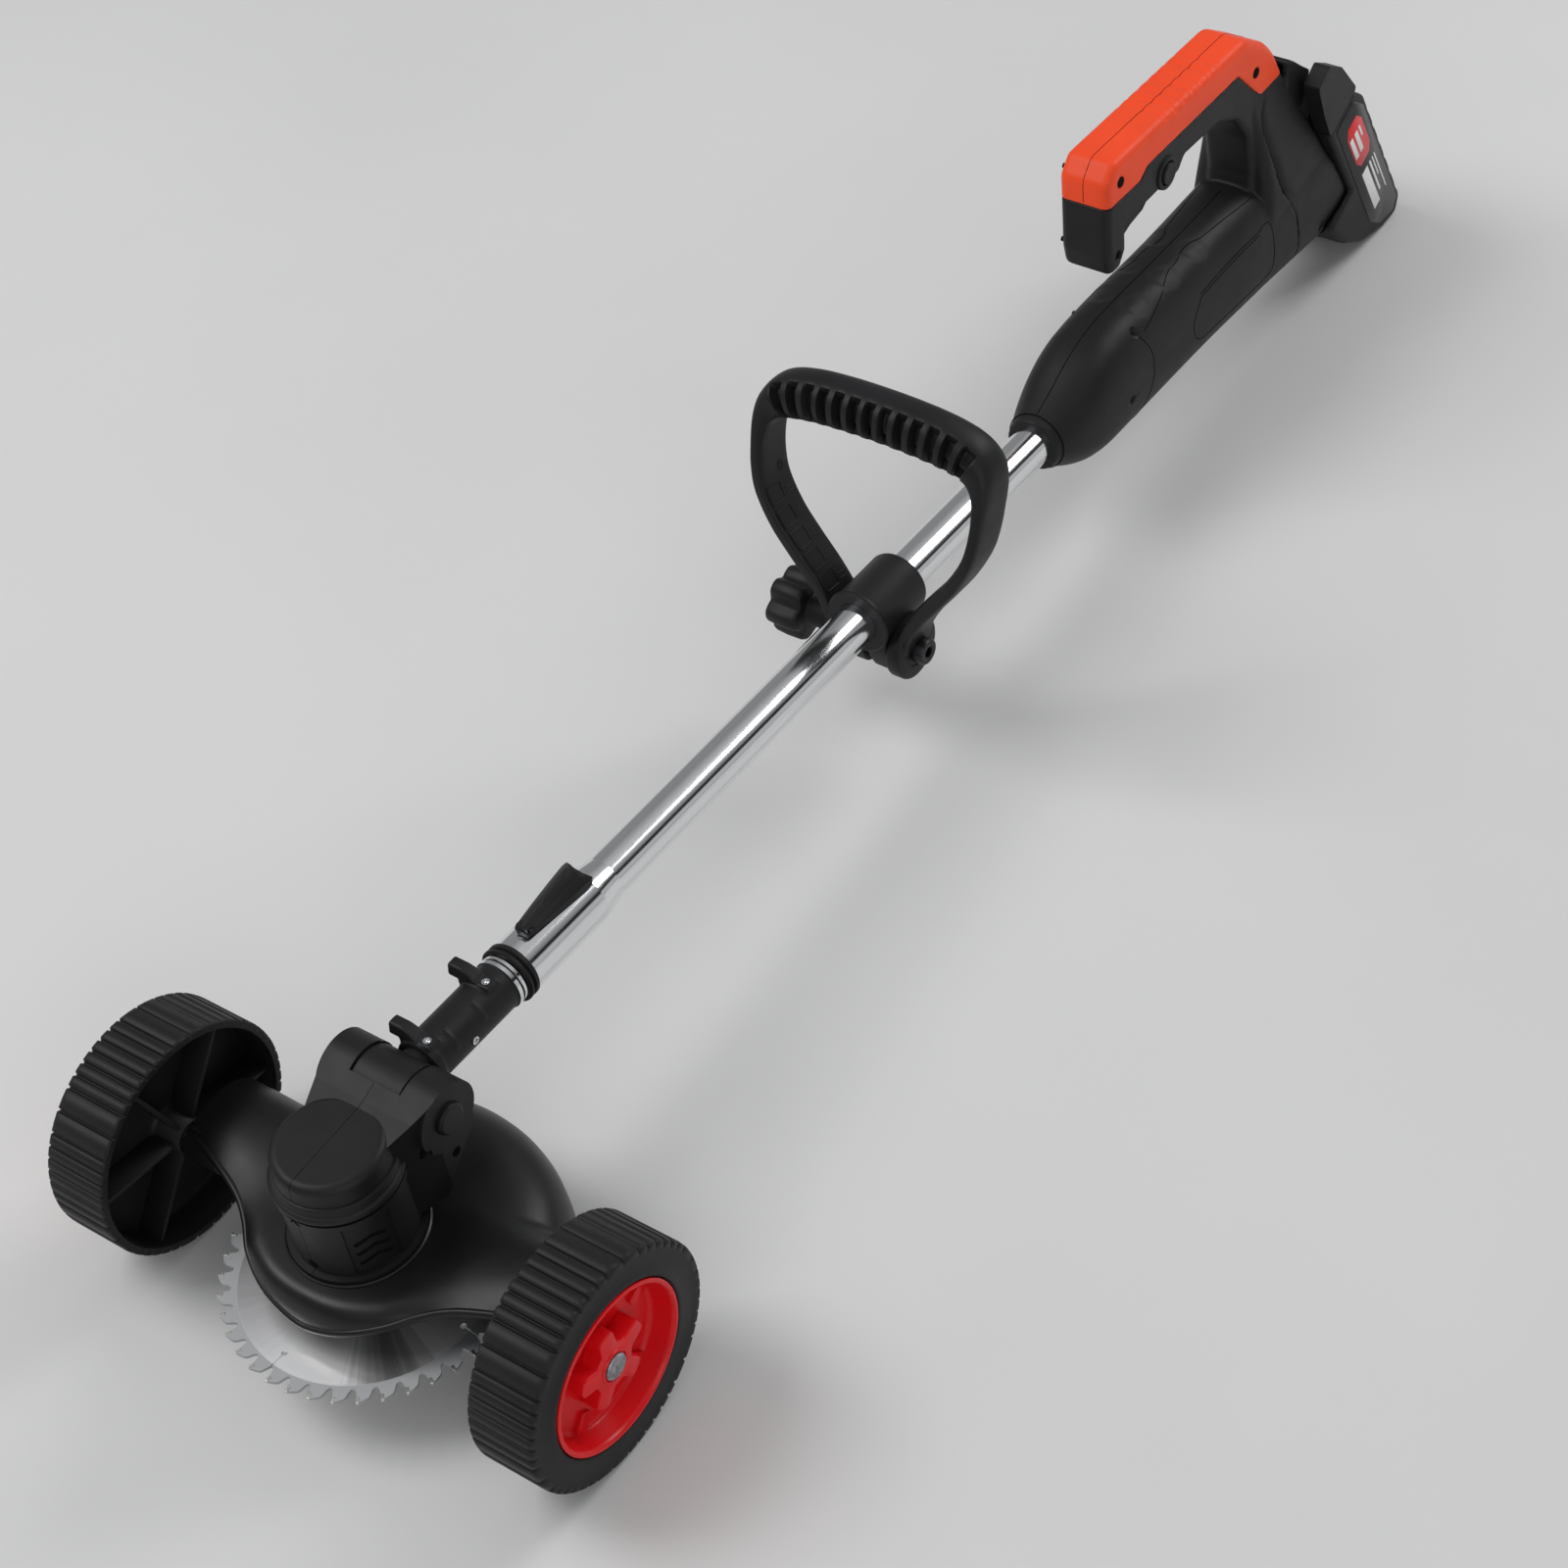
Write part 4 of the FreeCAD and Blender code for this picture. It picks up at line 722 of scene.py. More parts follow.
# ---------------------------------------------------------------- neck and tube lock
def neck_pieces():
    """Clamshell neck with softened lugs, its bright end rings and the raised bars on top."""
    neck = melted("neck_moulding", [cad_copy("neck_shell_left"), cad_copy("neck_shell_right")], 0.0006, 4, 0.5)
    settle(neck, "lower_tube", "black", "neck_shell_left", "neck_shell_right", slot="black_plastic")
    rings = lathe("rings", [(-0.0118, 0.0138), (-0.0116, 0.0148), (-0.0094, 0.0150), (-0.0089, 0.0143),
                            (-0.0082, 0.0143), (-0.0078, 0.0148), (-0.0062, 0.0148), (-0.0057, 0.0138),
                            (-0.0050, 0.0136), (-0.0050, 0.0128), (-0.0118, 0.0128)], "Y", 96, wrap=True)
    moved(rings, TUBE)
    settle(joined("neck_bright_rings", [rings]), "lower_tube", "tube", slot="tube_chrome")
    bars = []
    for s in (-0.037, -0.059):
        arc = []
        for k in range(7):
            a = math.radians(42 + 5 * k)
            arc.append(TUBE @ Vector((0.01425 * math.cos(a), s, 0.01425 * math.sin(a))))
        bars.append(tube_along("bar", arc, 0.0006, 8))
    settle(joined("neck_bars", bars), "lower_tube", "black", slot="black_plastic")


def collar_piece():
    """Double rim of the tube lock, with its sleeve inside the tube."""
    collar = lathe("collar", [(-0.0045, 0.0134), (-0.0045, 0.0162), (-0.0040, 0.0168), (-0.0027, 0.0168),
                              (-0.0021, 0.0162), (-0.0018, 0.0151), (-0.0009, 0.0151), (-0.0006, 0.0162),
                              (-0.0001, 0.0167), (0.0019, 0.0167), (0.0024, 0.0162), (0.0025, 0.0138),
                              (0.0590, 0.0138), (0.0590, 0.0134)], "Y", 96, wrap=True)
    moved(collar, TUBE)
    settle(joined("lock_collar_rims", [collar]), "handle", "black", "lock_collar", slot="black_plastic")


def lever_piece():
    """Faceted wedge of the tube lock, ridged along the middle and notched at the thick end."""
    rows = ((11.9, 4.9, 17.2, 20.4, 0.0, 0.0), (13.5, 5.4, 16.6, 21.6, 0.0, 0.0),
            (30.0, 6.9, 15.9, 25.2, 0.3, 0.0), (46.0, 8.2, 15.2, 28.0, 0.6, 0.0),
            (58.0, 9.1, 15.0, 29.2, 0.8, 4.5), (61.5, 9.0, 15.3, 28.6, 0.8, 5.5), (62.3, 8.4, 16.2, 26.2, 0.8, 5.5))
    loops = []
    for s, wide, low, high, ridge, notch in rows:
        left, right = low + 0.52 * (high - low), low + 0.40 * (high - low)
        ring = [(-wide + 0.5, low), (-wide, left), (-wide * 0.5, (left + high) / 2), (ridge, high),
                (wide * 0.5, (right + high) / 2 - 0.4), (wide, right), (wide - 0.5, low)]
        loops.append([(x / 1000, (s - notch * max(0.0, 1 - abs(x - ridge) / wide)) / 1000, h / 1000)
                      for x, h in ring])
    lever = loops_object("lever", loops, caps=True, sharp=6)
    soften(lever, 0.0004, 2, 6)
    moved(lever, TUBE)
    settle(joined("lever_moulding", [lever]), "tube_lever", "black", "lock_lever", slot="black_plastic")
    pin = lathe("pin", [(-0.0050, 0.0002), (-0.0050, 0.0013), (-0.0048, 0.0015), (0.0048, 0.0015),
                        (0.0050, 0.0013), (0.0050, 0.0002)], "X", 32, wrap=True)
    moved(pin, TUBE @ Matrix.Translation((0, 0.0145, 0.019)))
    settle(joined("lever_hinge_pin", [pin]), "handle", "dark_steel", "lever_pin", slot="fastener_steel")


def vent_shadows():
    """Dark depth of the bent vents and of the round holes in the motor housing."""
    strips = []
    for z in (0.0932, 0.1007, 0.1082):
        line = []
        for y, dz in ((-0.0096, -0.0039), (-0.0048, -0.0019), (0.0, 0.0), (0.0038, -0.0015), (0.0077, -0.0030)):
            a = math.asin(y / 0.032) - math.radians(26)
            line.append(Vector((0.0314 * math.cos(a), 0.0314 * math.sin(a) + MOTOR_Y, z + dz)))
        strips.append(tube_along("vent", line, 0.0014, 10))
    for z in (0.1217, 0.0865):
        disc = lathe("hole", [(-0.0330, 0.0002), (-0.0330, 0.0029), (-0.0318, 0.0029), (-0.0318, 0.0002)],
                     "Y", 32, wrap=True)
        strips.append(moved(disc, Matrix.Translation((0, MOTOR_Y, z))))
    settle(joined("vent_shadows", strips), "head", "seam_and_shade", slot="black_plastic")


def joint_lines():
    """Shadow gaps round the tilting block on top of the motor head."""
    lines = []
    pivot = Vector((0, 0.0443, 0.1356))

    def over(x, a):
        return pivot + Vector((x, -0.02005 * math.sin(math.radians(a)), 0.02005 * math.cos(math.radians(a))))

    for x in (-0.0163, 0.0163):
        lines.append(tube_along("gap", [over(x, a) for a in range(-40, 36, 4)], 0.00045, 8))
    lines.append(tube_along("gap", [over(x / 1000, 35) for x in range(-16, 17, 4)], 0.00045, 8))
    settle(joined("tilt_block_gaps", lines), "head", "seam_and_shade", slot="black_plastic")


neck_pieces()
collar_piece()
lever_piece()
vent_shadows()
joint_lines()


# ---------------------------------------------------------------- front handle
CLAMP_S = 0.340
BOLT_S = 0.338
BOLT_H = -0.023
LOOP = (TUBE @ Matrix.Translation((0, BOLT_S, BOLT_H)) @ Matrix.Rotation(math.radians(-5), 4, "X"))

# Half of the loop's middle line in mm: across, height over the bolt, set-back, thickness, depth, squareness.
LOOP_LINE = ((0, 146.5, 6.0, 29.0, 30.0, 2.3), (22, 146.0, 6.0, 29.0, 30.0, 2.3), (44, 144.2, 6.0, 28.5, 30.0, 2.3),
             (60, 140.5, 5.8, 26.5, 29.5, 2.4), (69, 134.5, 5.0, 20.0, 29.0, 2.8), (73.3, 125.5, 3.0, 12.5, 28.5, 3.6),
             (74.2, 113.0, 0.5, 8.8, 28.0, 4.6), (73.2, 98.0, -2.0, 8.0, 28.0, 5.0), (69.5, 83.0, -3.6, 8.2, 28.0, 5.0),
             (60.0, 65.0, -4.2, 9.0, 27.5, 5.0), (48.0, 48.5, -3.6, 9.8, 27.0, 5.0), (36.0, 32.0, -2.0, 9.8, 27.0, 5.0),
             (27.0, 16.0, -0.6, 9.4, 28.0, 5.0), (22.6, 2.0, 0.0, 9.2, 30.0, 5.0))
GRIP_SLOTS = [10.1 * i for i in range(-6, 7)]


def loop_stations():
    """Middle line from the left end over the bar to the right end, finely stepped along the bar."""
    half = [Vector(row) for row in LOOP_LINE]
    fine = []
    for i in range(len(half) - 1):
        p1, p2 = half[i], half[i + 1]
        p0 = half[i - 1] if i else Vector((-22, 146.0, 6.0, 29.0, 30.0, 2.3))
        p3 = half[i + 2] if i + 2 < len(half) else 2 * p2 - p1
        steps = max(8, int((p2 - p1).length / 0.7)) if i < 4 else 9
        for k in range(steps):
            t = k / steps
            fine.append(0.5 * ((2 * p1) + (p2 - p0) * t + (2 * p0 - 5 * p1 + 4 * p2 - p3) * t * t
                               + (3 * p1 - p0 - 3 * p2 + p3) * t ** 3))
    fine.append(half[-1])
    left = [Vector((-row[0],) + tuple(row)[1:]) for row in reversed(fine[1:])]
    return left + fine


def finger_slot(x):
    """How deep a grip recess is at a place along the bar: 1 in a slot, 0 on a rib."""
    near = min(abs(x - middle) for middle in GRIP_SLOTS)
    return 1 - smoothstep(near, 2.1, 3.3)


def loop_frame(stations, i):
    before, after = stations[max(0, i - 1)], stations[min(len(stations) - 1, i + 1)]
    along = Vector((after[0] - before[0], 0, after[1] - before[1])).normalized()
    return Vector((-along.z, 0, along.x))


def loop_section(row, outward, sides=80):
    """Rounded-square ring of points; a slot opens over the front half of the grip bar."""
    x, height, setback, thick, depth, power = row
    slot = finger_slot(x) if height > 100 else 0
    ring = []
    for k in range(sides):
        turn = 2 * math.pi * k / sides
        c, s = math.cos(turn), math.sin(turn)
        u = math.copysign(abs(c) ** (2 / power), c) * thick / 2
        v = -math.copysign(abs(s) ** (2 / power), s) * depth / 2
        at = math.degrees(turn)
        open_here = smoothstep(at, 30, 42) * (1 - smoothstep(at, 138, 152))
        shrink = 1 - 0.4 * slot * open_here
        ring.append(Vector((x, setback, height)) / 1000 + outward * (u * shrink / 1000)
                    + Vector((0, v * shrink / 1000, 0)))
    return ring


def arm_marks(stations):
    """Raised frames and paired ticks on the inner face of the left arm."""
    marks = []
    left = [row for row in stations if row[0] < 0 and row[1] < 100]
    count = len(left)

    def on_face(at, across):
        i = min(count - 2, max(1, int(at)))
        row = left[i] + (left[min(count - 1, i + 1)] - left[i]) * (at - int(at))
        outward = loop_frame(left, i)
        place = Vector((row[0], row[2] + across, row[1])) - outward * (row[3] / 2 + 0.05)
        return place / 1000

    for n in range(5):
        mid = 16 + n * 6.6
        corners = rounded([(mid - 2.45, -11.0), (mid + 2.45, -11.0), (mid + 2.45, 0.8), (mid - 2.45, 0.8)], 0.9, 4)
        marks.append(tube_along("frame", [on_face(a, b) for a, b in corners], 0.00045, 8, True))
    for n in range(5):
        for offset in (-0.75, 0.75):
            mid = 15 + n * 6.6 + offset
            marks.append(tube_along("tick", [on_face(mid, 3.4), on_face(mid, 8.8)], 0.0004, 8))
    oval = [(49.5 + 1.9 * math.cos(a), 5 + 2.0 * math.sin(a)) for a in
            [2 * math.pi * k / 20 for k in range(20)]]
    marks.append(tube_along("oval", [on_face(a, b) for a, b in oval], 0.0005, 8, True))
    return marks


def front_handle():
    stations = loop_stations()
    loops = [loop_section(row, loop_frame(stations, i)) for i, row in enumerate(stations)]
    parts = [loops_object("loop", loops, caps=True, sharp=60)]
    parts += arm_marks(stations)
    for side in (-1, 1):
        cheek = lathe("cheek", [(0.0173, 0.0040), (0.0173, 0.0182), (0.0178, 0.0190), (0.0188, 0.0195),
                                (0.0256, 0.0195), (0.0265, 0.0190), (0.0270, 0.0180), (0.0270, 0.0118),
                                (0.0262, 0.0110), (0.0262, 0.0040)], "X", 80, wrap=True)
        parts.append(moved(cheek, Matrix.Scale(side, 4, (1, 0, 0))))
    for part in parts:
        moved(part, LOOP)
    settle(joined("front_grip_loop", parts), "loop", "black", "front_handle", slot="black_plastic")


def clamp_piece():
    saddle = lathe("saddle", [(-0.0220, 0.01315), (-0.0220, 0.0196), (-0.0213, 0.0204), (-0.0196, 0.0206),
                              (-0.0186, 0.0200), (-0.0178, 0.0194), (0.0200, 0.0194), (0.0214, 0.0188),
                              (0.0220, 0.0174), (0.0220, 0.01315)], "Y", 96, wrap=True)
    moved(saddle, Matrix.Translation((0, CLAMP_S, 0)))
    neck_outline = [(-0.0165, 0.004), (-0.0185, -0.012), (-0.0168, -0.024), (-0.0100, -0.0385), (0, -0.0413),
                    (0.0100, -0.0385), (0.0168, -0.024), (0.0185, -0.012), (0.0165, 0.004)]
    parts = [saddle]
    for side in (-1, 1):
        low, high = sorted((side * 0.0024, side * 0.0168))
        ear = prism("ear", [tuple(p) for p in catmull(neck_outline, 6)], low, high, "X", 0.0014, 3)
        cut = lathe("cut", [(-0.1, 0.01315), (0.1, 0.01315)], "Y", 72)
        fill_ends(cut)
        moved(cut, Matrix.Translation((0, -BOLT_S + 0.001, 0)) @ Matrix.Translation((0, BOLT_S, 0)))
        ear = joined("ear", [ear])
        cut_with(ear, cut)
        parts.append(moved(ear, Matrix.Translation((0, BOLT_S + 0.001, 0))))
    for part in parts:
        moved(part, TUBE)
    settle(joined("tube_clamp", parts), "clamp", "black", "handle_clamp", slot="black_plastic")


def knob_piece():
    """Lobed hand knob with a hollow outer face and a hub towards the loop."""
    depth = 0.022
    sides = 160

    def ring(x, radius, lobe):
        points = []
        for k in range(sides):
            a = 2 * math.pi * k / sides
            wave = 0.5 + 0.5 * math.cos(6 * a)
            r = radius - lobe * (1 - wave) ** 1.6
            points.append((x, r * math.cos(a), r * math.sin(a)))
        return points

    loops = [ring(0.0188, 0.0098, 0), ring(0.0002, 0.0100, 0), ring(0.0, 0.0104, 0), ring(0.0, 0.0180, 0.0028),
             ring(-0.0008, 0.0198, 0.0038), ring(-0.0028, 0.0206, 0.0042), ring(-0.0120, 0.0209, 0.0046),
             ring(-0.0196, 0.0203, 0.0046), ring(-0.0214, 0.0195, 0.0044), ring(-depth, 0.0182, 0.0042),
             ring(-depth, 0.0166, 0.0040), ring(-0.0212, 0.0160, 0.0039), ring(-0.0085, 0.0154, 0.0036),
             ring(-0.0085, 0.0080, 0), ring(-0.0180, 0.0074, 0), ring(-0.0186, 0.0068, 0), ring(-0.0186, 0.0042, 0),
             ring(0.0188, 0.0042, 0)]
    body = loops_object("knob", loops, wrap=True, sharp=50)
    parts = [moved(body, Matrix.Translation((-0.046, 0, 0)))]
    for k in range(6):
        web = prism("web", [(-0.0006, 0.0076), (0.0006, 0.0076), (0.0006, 0.0150), (-0.0006, 0.0150)],
                    -0.0655, -0.0540, "X", 0.0003)
        parts.append(moved(web, Matrix.Rotation(math.radians(60 * k + 30), 4, "X")))
    for part in parts:
        moved(part, TUBE @ Matrix.Translation((0, BOLT_S, BOLT_H)))
    settle(joined("clamp_hand_knob", parts), "knob", "black", "clamp_knob", slot="black_plastic")


def clamp_bolt_piece():
    """Black socket-head bolt through the clamp and the loop."""
    sides = 48

    def ring(x, radius, hexagonal=False):
        points = []
        for k in range(sides):
            a = 2 * math.pi * k / sides
            r = radius
            if hexagonal:
                r = radius / math.cos(math.radians((math.degrees(a) + 30) % 60 - 30))
            points.append((x, r * math.cos(a), r * math.sin(a)))
        return points

    loops = [ring(-0.0568, 0.0034), ring(-0.0570, 0.0030), ring(-0.0560, 0.0040), ring(0.0272, 0.0040),
             ring(0.0272, 0.0076), ring(0.0276, 0.0080), ring(0.0338, 0.0080), ring(0.0346, 0.0074),
             ring(0.0347, 0.0070), ring(0.0347, 0.0042), ring(0.0344, 0.0033, True), ring(0.0306, 0.0030, True)]
    bolt = loops_object("bolt", [loops[1], loops[0]] + loops[2:], caps=True, sharp=35)
    moved(bolt, TUBE @ Matrix.Translation((0, BOLT_S, BOLT_H)))
    settle(joined("clamp_socket_bolt", [bolt]), "loop", "dark_steel", "clamp_bolt", slot="fastener_steel")


front_handle()
clamp_piece()
knob_piece()
clamp_bolt_piece()


# ---------------------------------------------------------------- rear handle
BODY_SECTIONS = ((507, 17.0, 17.0, 0, 2.0), (514, 19.0, 19.2, 0, 2.1), (522, 22.2, 23.2, -0.5, 2.2),
                 (530, 24.7, 27.0, -0.5, 2.3), (539, 26.7, 31.0, 0.3, 2.4), (549, 28.0, 34.5, 1.8, 2.5),
                 (560, 28.7, 37.0, 3.4, 2.6), (574, 29.0, 38.8, 5.0, 2.6), (600, 29.0, 40.0, 6.0, 2.6),
                 (680, 29.0, 40.5, 6.5, 2.6), (742, 29.8, 42.2, 7.0, 2.7))
REAR_HOLES = ((577, -1), (592, 37), (583, 97))
COLLAR_HOLES = ((818, -17),)
COVER_HOLES = ((587, 146), (749, 132))


def body_skin():
    """Smooth closed loft over the front of the housing, a hair outside the moulded halves."""
    fine = catmull(BODY_SECTIONS, 6)
    loops = []
    for row in fine:
        s, wide, high, middle, power = row
        ring = []
        for k in range(120):
            a = 2 * math.pi * k / 120
            c, v = math.cos(a), math.sin(a)
            x = math.copysign(abs(c) ** (2 / power), c) * (wide + 0.15)
            h = middle + math.copysign(abs(v) ** (2 / power), v) * (high + 0.15)
            ring.append((x / 1000, s / 1000, h / 1000))
        loops.append(ring)
    return moved(loops_object("skin", loops, caps=True, sharp=60), TUBE)


def press_in(thing, inverse, depth_at):
    """Moves each vertex inward along its normal by depth_at(x, s, h), all in mm of the tube's frame."""
    for vertex in thing.data.vertices:
        place = inverse @ vertex.co * 1000
        normal = inverse.to_3x3() @ vertex.normal
        depth = depth_at(place, normal)
        if depth:
            vertex.co -= vertex.normal * (depth / 1000)


def screw_recesses(thing, places):
    """Round screw recesses sunk from the right side, at (s, h) places in mm."""
    for s, h in places:
        tool = lathe("hole", [(0.0 if h < 60 else 0.0042, 0.0031), (0.1, 0.0031)], "X", 24)
        fill_ends(tool)
        moved(tool, TUBE @ Matrix.Translation((0.0117, s / 1000, h / 1000)))
        cut_with(thing, tool)


def grip_dip(place, normal):
    """Three pairs of shallow lens-shaped thumb recesses on top of the body."""
    if normal.z < 0.25 or not 585 < place.y < 720 or place.z > 60:
        return 0
    depth = 0
    for middle in (606, 640, 674):
        across = (abs(place.x) - 12.4) / 11.0
        along = (place.y - middle - 0.25 * abs(place.x)) / 11.0
        inside = 1 - across * across - along * along
        depth = max(depth, 0.7 * smoothstep(inside, 0, 0.75))
    return depth


def seam_on(thing, name, points, direction, back=0.03, radius=0.00036, sink=0.00012):
    """Fine dark parting line: points thrown onto the surface along a direction, all in row metres."""
    tree = BVHTree.FromObject(thing, bpy.context.evaluated_depsgraph_get())
    push = Vector(direction).normalized()
    path = []
    for point in points:
        hit, normal, _, _ = tree.ray_cast(Vector(point) - push * back, push)
        if hit:
            path.append(hit - normal * sink)
    return tube_along(name, path, radius, 8)


def rear_lines(body):
    """Parting lines and panel edges of the rear housing."""
    lines = []
    right = TUBE.to_3x3() @ Vector((-1, 0, 0))
    down = TUBE.to_3x3() @ Vector((0, 0, -1))
    side_paths = (
        ((600, 34), (650, 44.5), (700, 45.5), (744, 45)),
        ((594, 34), (601, 20), (603, 2), (597, -16), (588, -27)),
        ((662, 24), (700, 26.5), (735, 27)),
        ((662, 21.8), (700, 24.2), (735, 24.8)),
        ((666, -11), (705, -12.8), (748, -13), (753, -4), (753, 6), (748, 27), (735, 27)),
        ((666, -11), (656, -5), (652, 8), (662, 22)),
    )
    for path in side_paths:
        smooth = catmull(path, 8)
        for side in (1, -1):
            points = [TUBE @ Vector((side * 0.06, s / 1000, h / 1000)) for s, h in smooth]
            lines.append(seam_on(body, "line", points, right * side))
    top = [TUBE @ Vector((0, s / 1000, 0.055)) for s in range(514, 738, 2)]
    lines.append(seam_on(body, "line", top, down, 0.004))
    low = [TUBE @ Vector((0, s / 1000, -0.06)) for s in range(514, 815, 3)]
    lines.append(seam_on(body, "line", low, -down, 0.004))
    for turn in range(0, 360, 60):
        ring = []
        for k in range(11):
            a = math.radians(turn + 6 * k)
            ring.append(TUBE @ Vector((0.0193 * math.cos(a), 0.5125, 0.0193 * math.sin(a))))
        lines.append(tube_along("line", ring, 0.0003, 8))
    return lines


def seam_s(h):
    """Where the battery collar meets the housing, as the s of a height, in mm."""
    spots = ((-60, 793), (-16, 787), (11, 782), (52, 761), (91, 752), (114, 758), (135, 765))
    for (h0, s0), (h1, s1) in zip(spots, spots[1:]):
        if h <= h1:
            return s0 + (s1 - s0) * smoothstep(h, h0, h1)
    return spots[-1][1]


def root_web(front, back):
    """Widening web that runs from the upright of the grip into the sides of the body."""
    loops = []
    for h, wide in ((6, 29.5), (16, 29.6), (28, 29.4), (40, 28.6), (52, 27.2), (64, 25.2), (76, 22.9),
                    (88, 20.6), (100, 18.6), (112, 17.2), (118, 16.0)):
        s0, s1 = front(h), back(h)
        corners = [(-wide, s0), (wide, s0), (wide, s1), (-wide, s1)]
        ring = rounded(corners, [9 if wide > 20 else 5, 9 if wide > 20 else 5, 0.5, 0.5], 6)
        loops.append([(x / 1000, s / 1000, h / 1000) for x, s in ring])
    return moved(loops_object("web", loops, caps=True, sharp=60), TUBE)


def web_front(h):
    return 744.5 + 4.5 * math.sin(math.pi * min(1.0, max(0.0, (h - 20) / 75))) - 0.0035 * max(0, h - 92) ** 2


def joint_s(h):
    return 843.2 - 0.5475 * h


def battery_collar():
    collar = melted("collar_moulding", [cad_copy("battery_collar_left"), cad_copy("battery_collar_right"),
                                        root_web(lambda h: seam_s(h) + 0.6, joint_s)], 0.0010, 4, 0.6)
    screw_recesses(collar, COLLAR_HOLES)
    settle(collar, "handle", "black", "battery_collar_left", "battery_collar_right", slot="black_plastic")


def cover_ribs(place, normal):
    """Seven soft cross ribs over the middle of the orange cover."""
    if normal.z < 0.35 or not 634 < place.y < 712:
        return 0
    edge = smoothstep(place.y, 634, 642) * (1 - smoothstep(place.y, 704, 712)) * smoothstep(normal.z, 0.35, 0.8)
    return 0.9 * edge * (0.5 - 0.5 * math.cos(2 * math.pi * (place.y - 634) / 11.0)) ** 2


def grip_cover():
    cover = melted("grip_cover_moulding", [cad_copy("grip_cover_left"), cad_copy("grip_cover_right")],
                   0.0009, 3, 0.7)
    press_in(cover, TUBE.inverted(), cover_ribs)
    screw_recesses(cover, COVER_HOLES)
    # Painted shade: near-black discs sit at the bottom of the two screw recesses.
    shade_discs = []
    for s, h in COVER_HOLES:
        disc = lathe("floor", [(0.0156, 0.0002), (0.0156, 0.0033), (0.0172, 0.0033), (0.0172, 0.0002)], "X", 24,
                     wrap=True)
        shade_discs.append(moved(disc, TUBE @ Matrix.Translation((0, s / 1000, h / 1000))))
    settle(joined("cover_recess_painted_shade", shade_discs), "handle", "seam_and_shade", slot="orange_plastic")
    down = TUBE.to_3x3() @ Vector((0, 0, -1))
    top = [TUBE @ Vector((0, s / 1000, 0.17)) for s in range(576, 778, 2)]
    seam_and_shade = seam_on(cover, "line", top, down, 0.03, 0.0003)
    front = [TUBE @ Vector((0, 0.56, h / 1000)) for h in range(136, 156, 2)]
    nose = seam_on(cover, "line", front, TUBE.to_3x3() @ Vector((0, 1, 0)), 0.03, 0.0003)
    settle(cover, "handle", "orange", "grip_cover_left", "grip_cover_right", slot="orange_plastic")
    settle(joined("grip_cover_seam", [seam_and_shade, nose]), "handle", "orange_seam", slot="orange_plastic")


def rear_body():
    body = melted("rear_moulding", [cad_copy("rear_housing_left"), cad_copy("rear_housing_right"), body_skin(),
                                    root_web(web_front, seam_s)], 0.0010, 5, 0.55)
    press_in(body, TUBE.inverted(), grip_dip)
    screw_recesses(body, REAR_HOLES)
    lines = rear_lines(body)
    settle(body, "handle", "black", "rear_housing_left", "rear_housing_right", slot="black_plastic")
    settle(joined("rear_parting_lines", lines), "handle", "seam_and_shade", slot="black_plastic")


def lock_boss():
    """Raised surround of the lock-off button on the right side of the grip."""
    boss = lathe("boss", [(0.0160, 0.0076), (0.0181, 0.0076), (0.0186, 0.0081), (0.0186, 0.0098),
                          (0.0181, 0.0106), (0.0160, 0.0110)], "X", 64, wrap=True)
    moved(boss, TUBE @ Matrix.Translation((0, 0.639, 0.123)))
    settle(joined("lock_button_boss", [boss]), "handle", "black", slot="black_plastic")


def battery_label():
    """Dark panels on the battery's sides: a red tag above rows of plain white bars."""
    panel = [(7, 58), (31, 58), (39, 42), (39, -74), (31, -80), (14, -70), (6, -55)]
    tag = [(13, 36), (17, 44), (29, 44), (33, 36), (33, 8), (29, 0), (17, 0), (13, 8)]
    bars = [(14.5, 18.5, 33, 11), (21.0, 25.0, 33, 11), (27.0, 29.0, 33, 22)]
    marks = [(14.5, 22.5, -8, -52), (25.0, 27.0, -8, -44), (29.0, 30.2, -8, -30), (32.0, 33.2, -8, -50)]
    panels, tags, whites = [], [], []
    for side in (-1, 1):
        def layer(name, outline_points, low, high, bevel=0.0001):
            metres = [(a / 1000, b / 1000) for a, b in outline_points]
            first, last = sorted((side * low / 1000, side * high / 1000))
            return moved(prism(name, metres, first, last, "X", bevel, 2), PACK)

        panels.append(layer("panel", rounded(panel, 3.0, 5), 36.0, 36.4))
        tags.append(layer("tag", rounded(tag, 1.6, 4), 36.3, 36.52))
        for y0, y1, z1, z0 in bars:
            whites.append(layer("bar", rounded([(y0, z0), (y1, z0), (y1, z1), (y0, z1)], 0.6, 3), 36.4, 36.6))
        for y0, y1, z1, z0 in marks:
            whites.append(layer("bar", rounded([(y0, z0), (y1, z0), (y1, z1), (y0, z1)], 0.5, 3), 36.3, 36.5))
    settle(joined("label_panels", panels), "battery", "label", "battery_labels", slot="label")
    settle(joined("label_tags", tags), "battery", "label_red", slot="label")
    settle(joined("label_bars", whites), "battery", "label_white", slot="label")


def battery_block():
    """Battery case and its lugs with the soft edges and ribbed rear of the moulding."""
    inverse = PACK.inverted()

    def ribs(place, normal):
        if normal.y < 0.5 or place.z > 40 or place.z < -76:
            return 0
        wave = 0.5 - 0.5 * math.cos(2 * math.pi * (place.z + 76) / 19.3)
        return 1.3 * wave ** 3 * smoothstep(normal.y, 0.5, 0.9)

    case = melted("battery_moulding", [cad_copy("battery_case")], 0.0011, 3, 0.6)
    press_in(case, inverse, ribs)
    settle(case, "battery", "black", "battery_case", slot="black_plastic")


rear_body()
battery_collar()
lock_boss()
grip_cover()
battery_block()
battery_label()


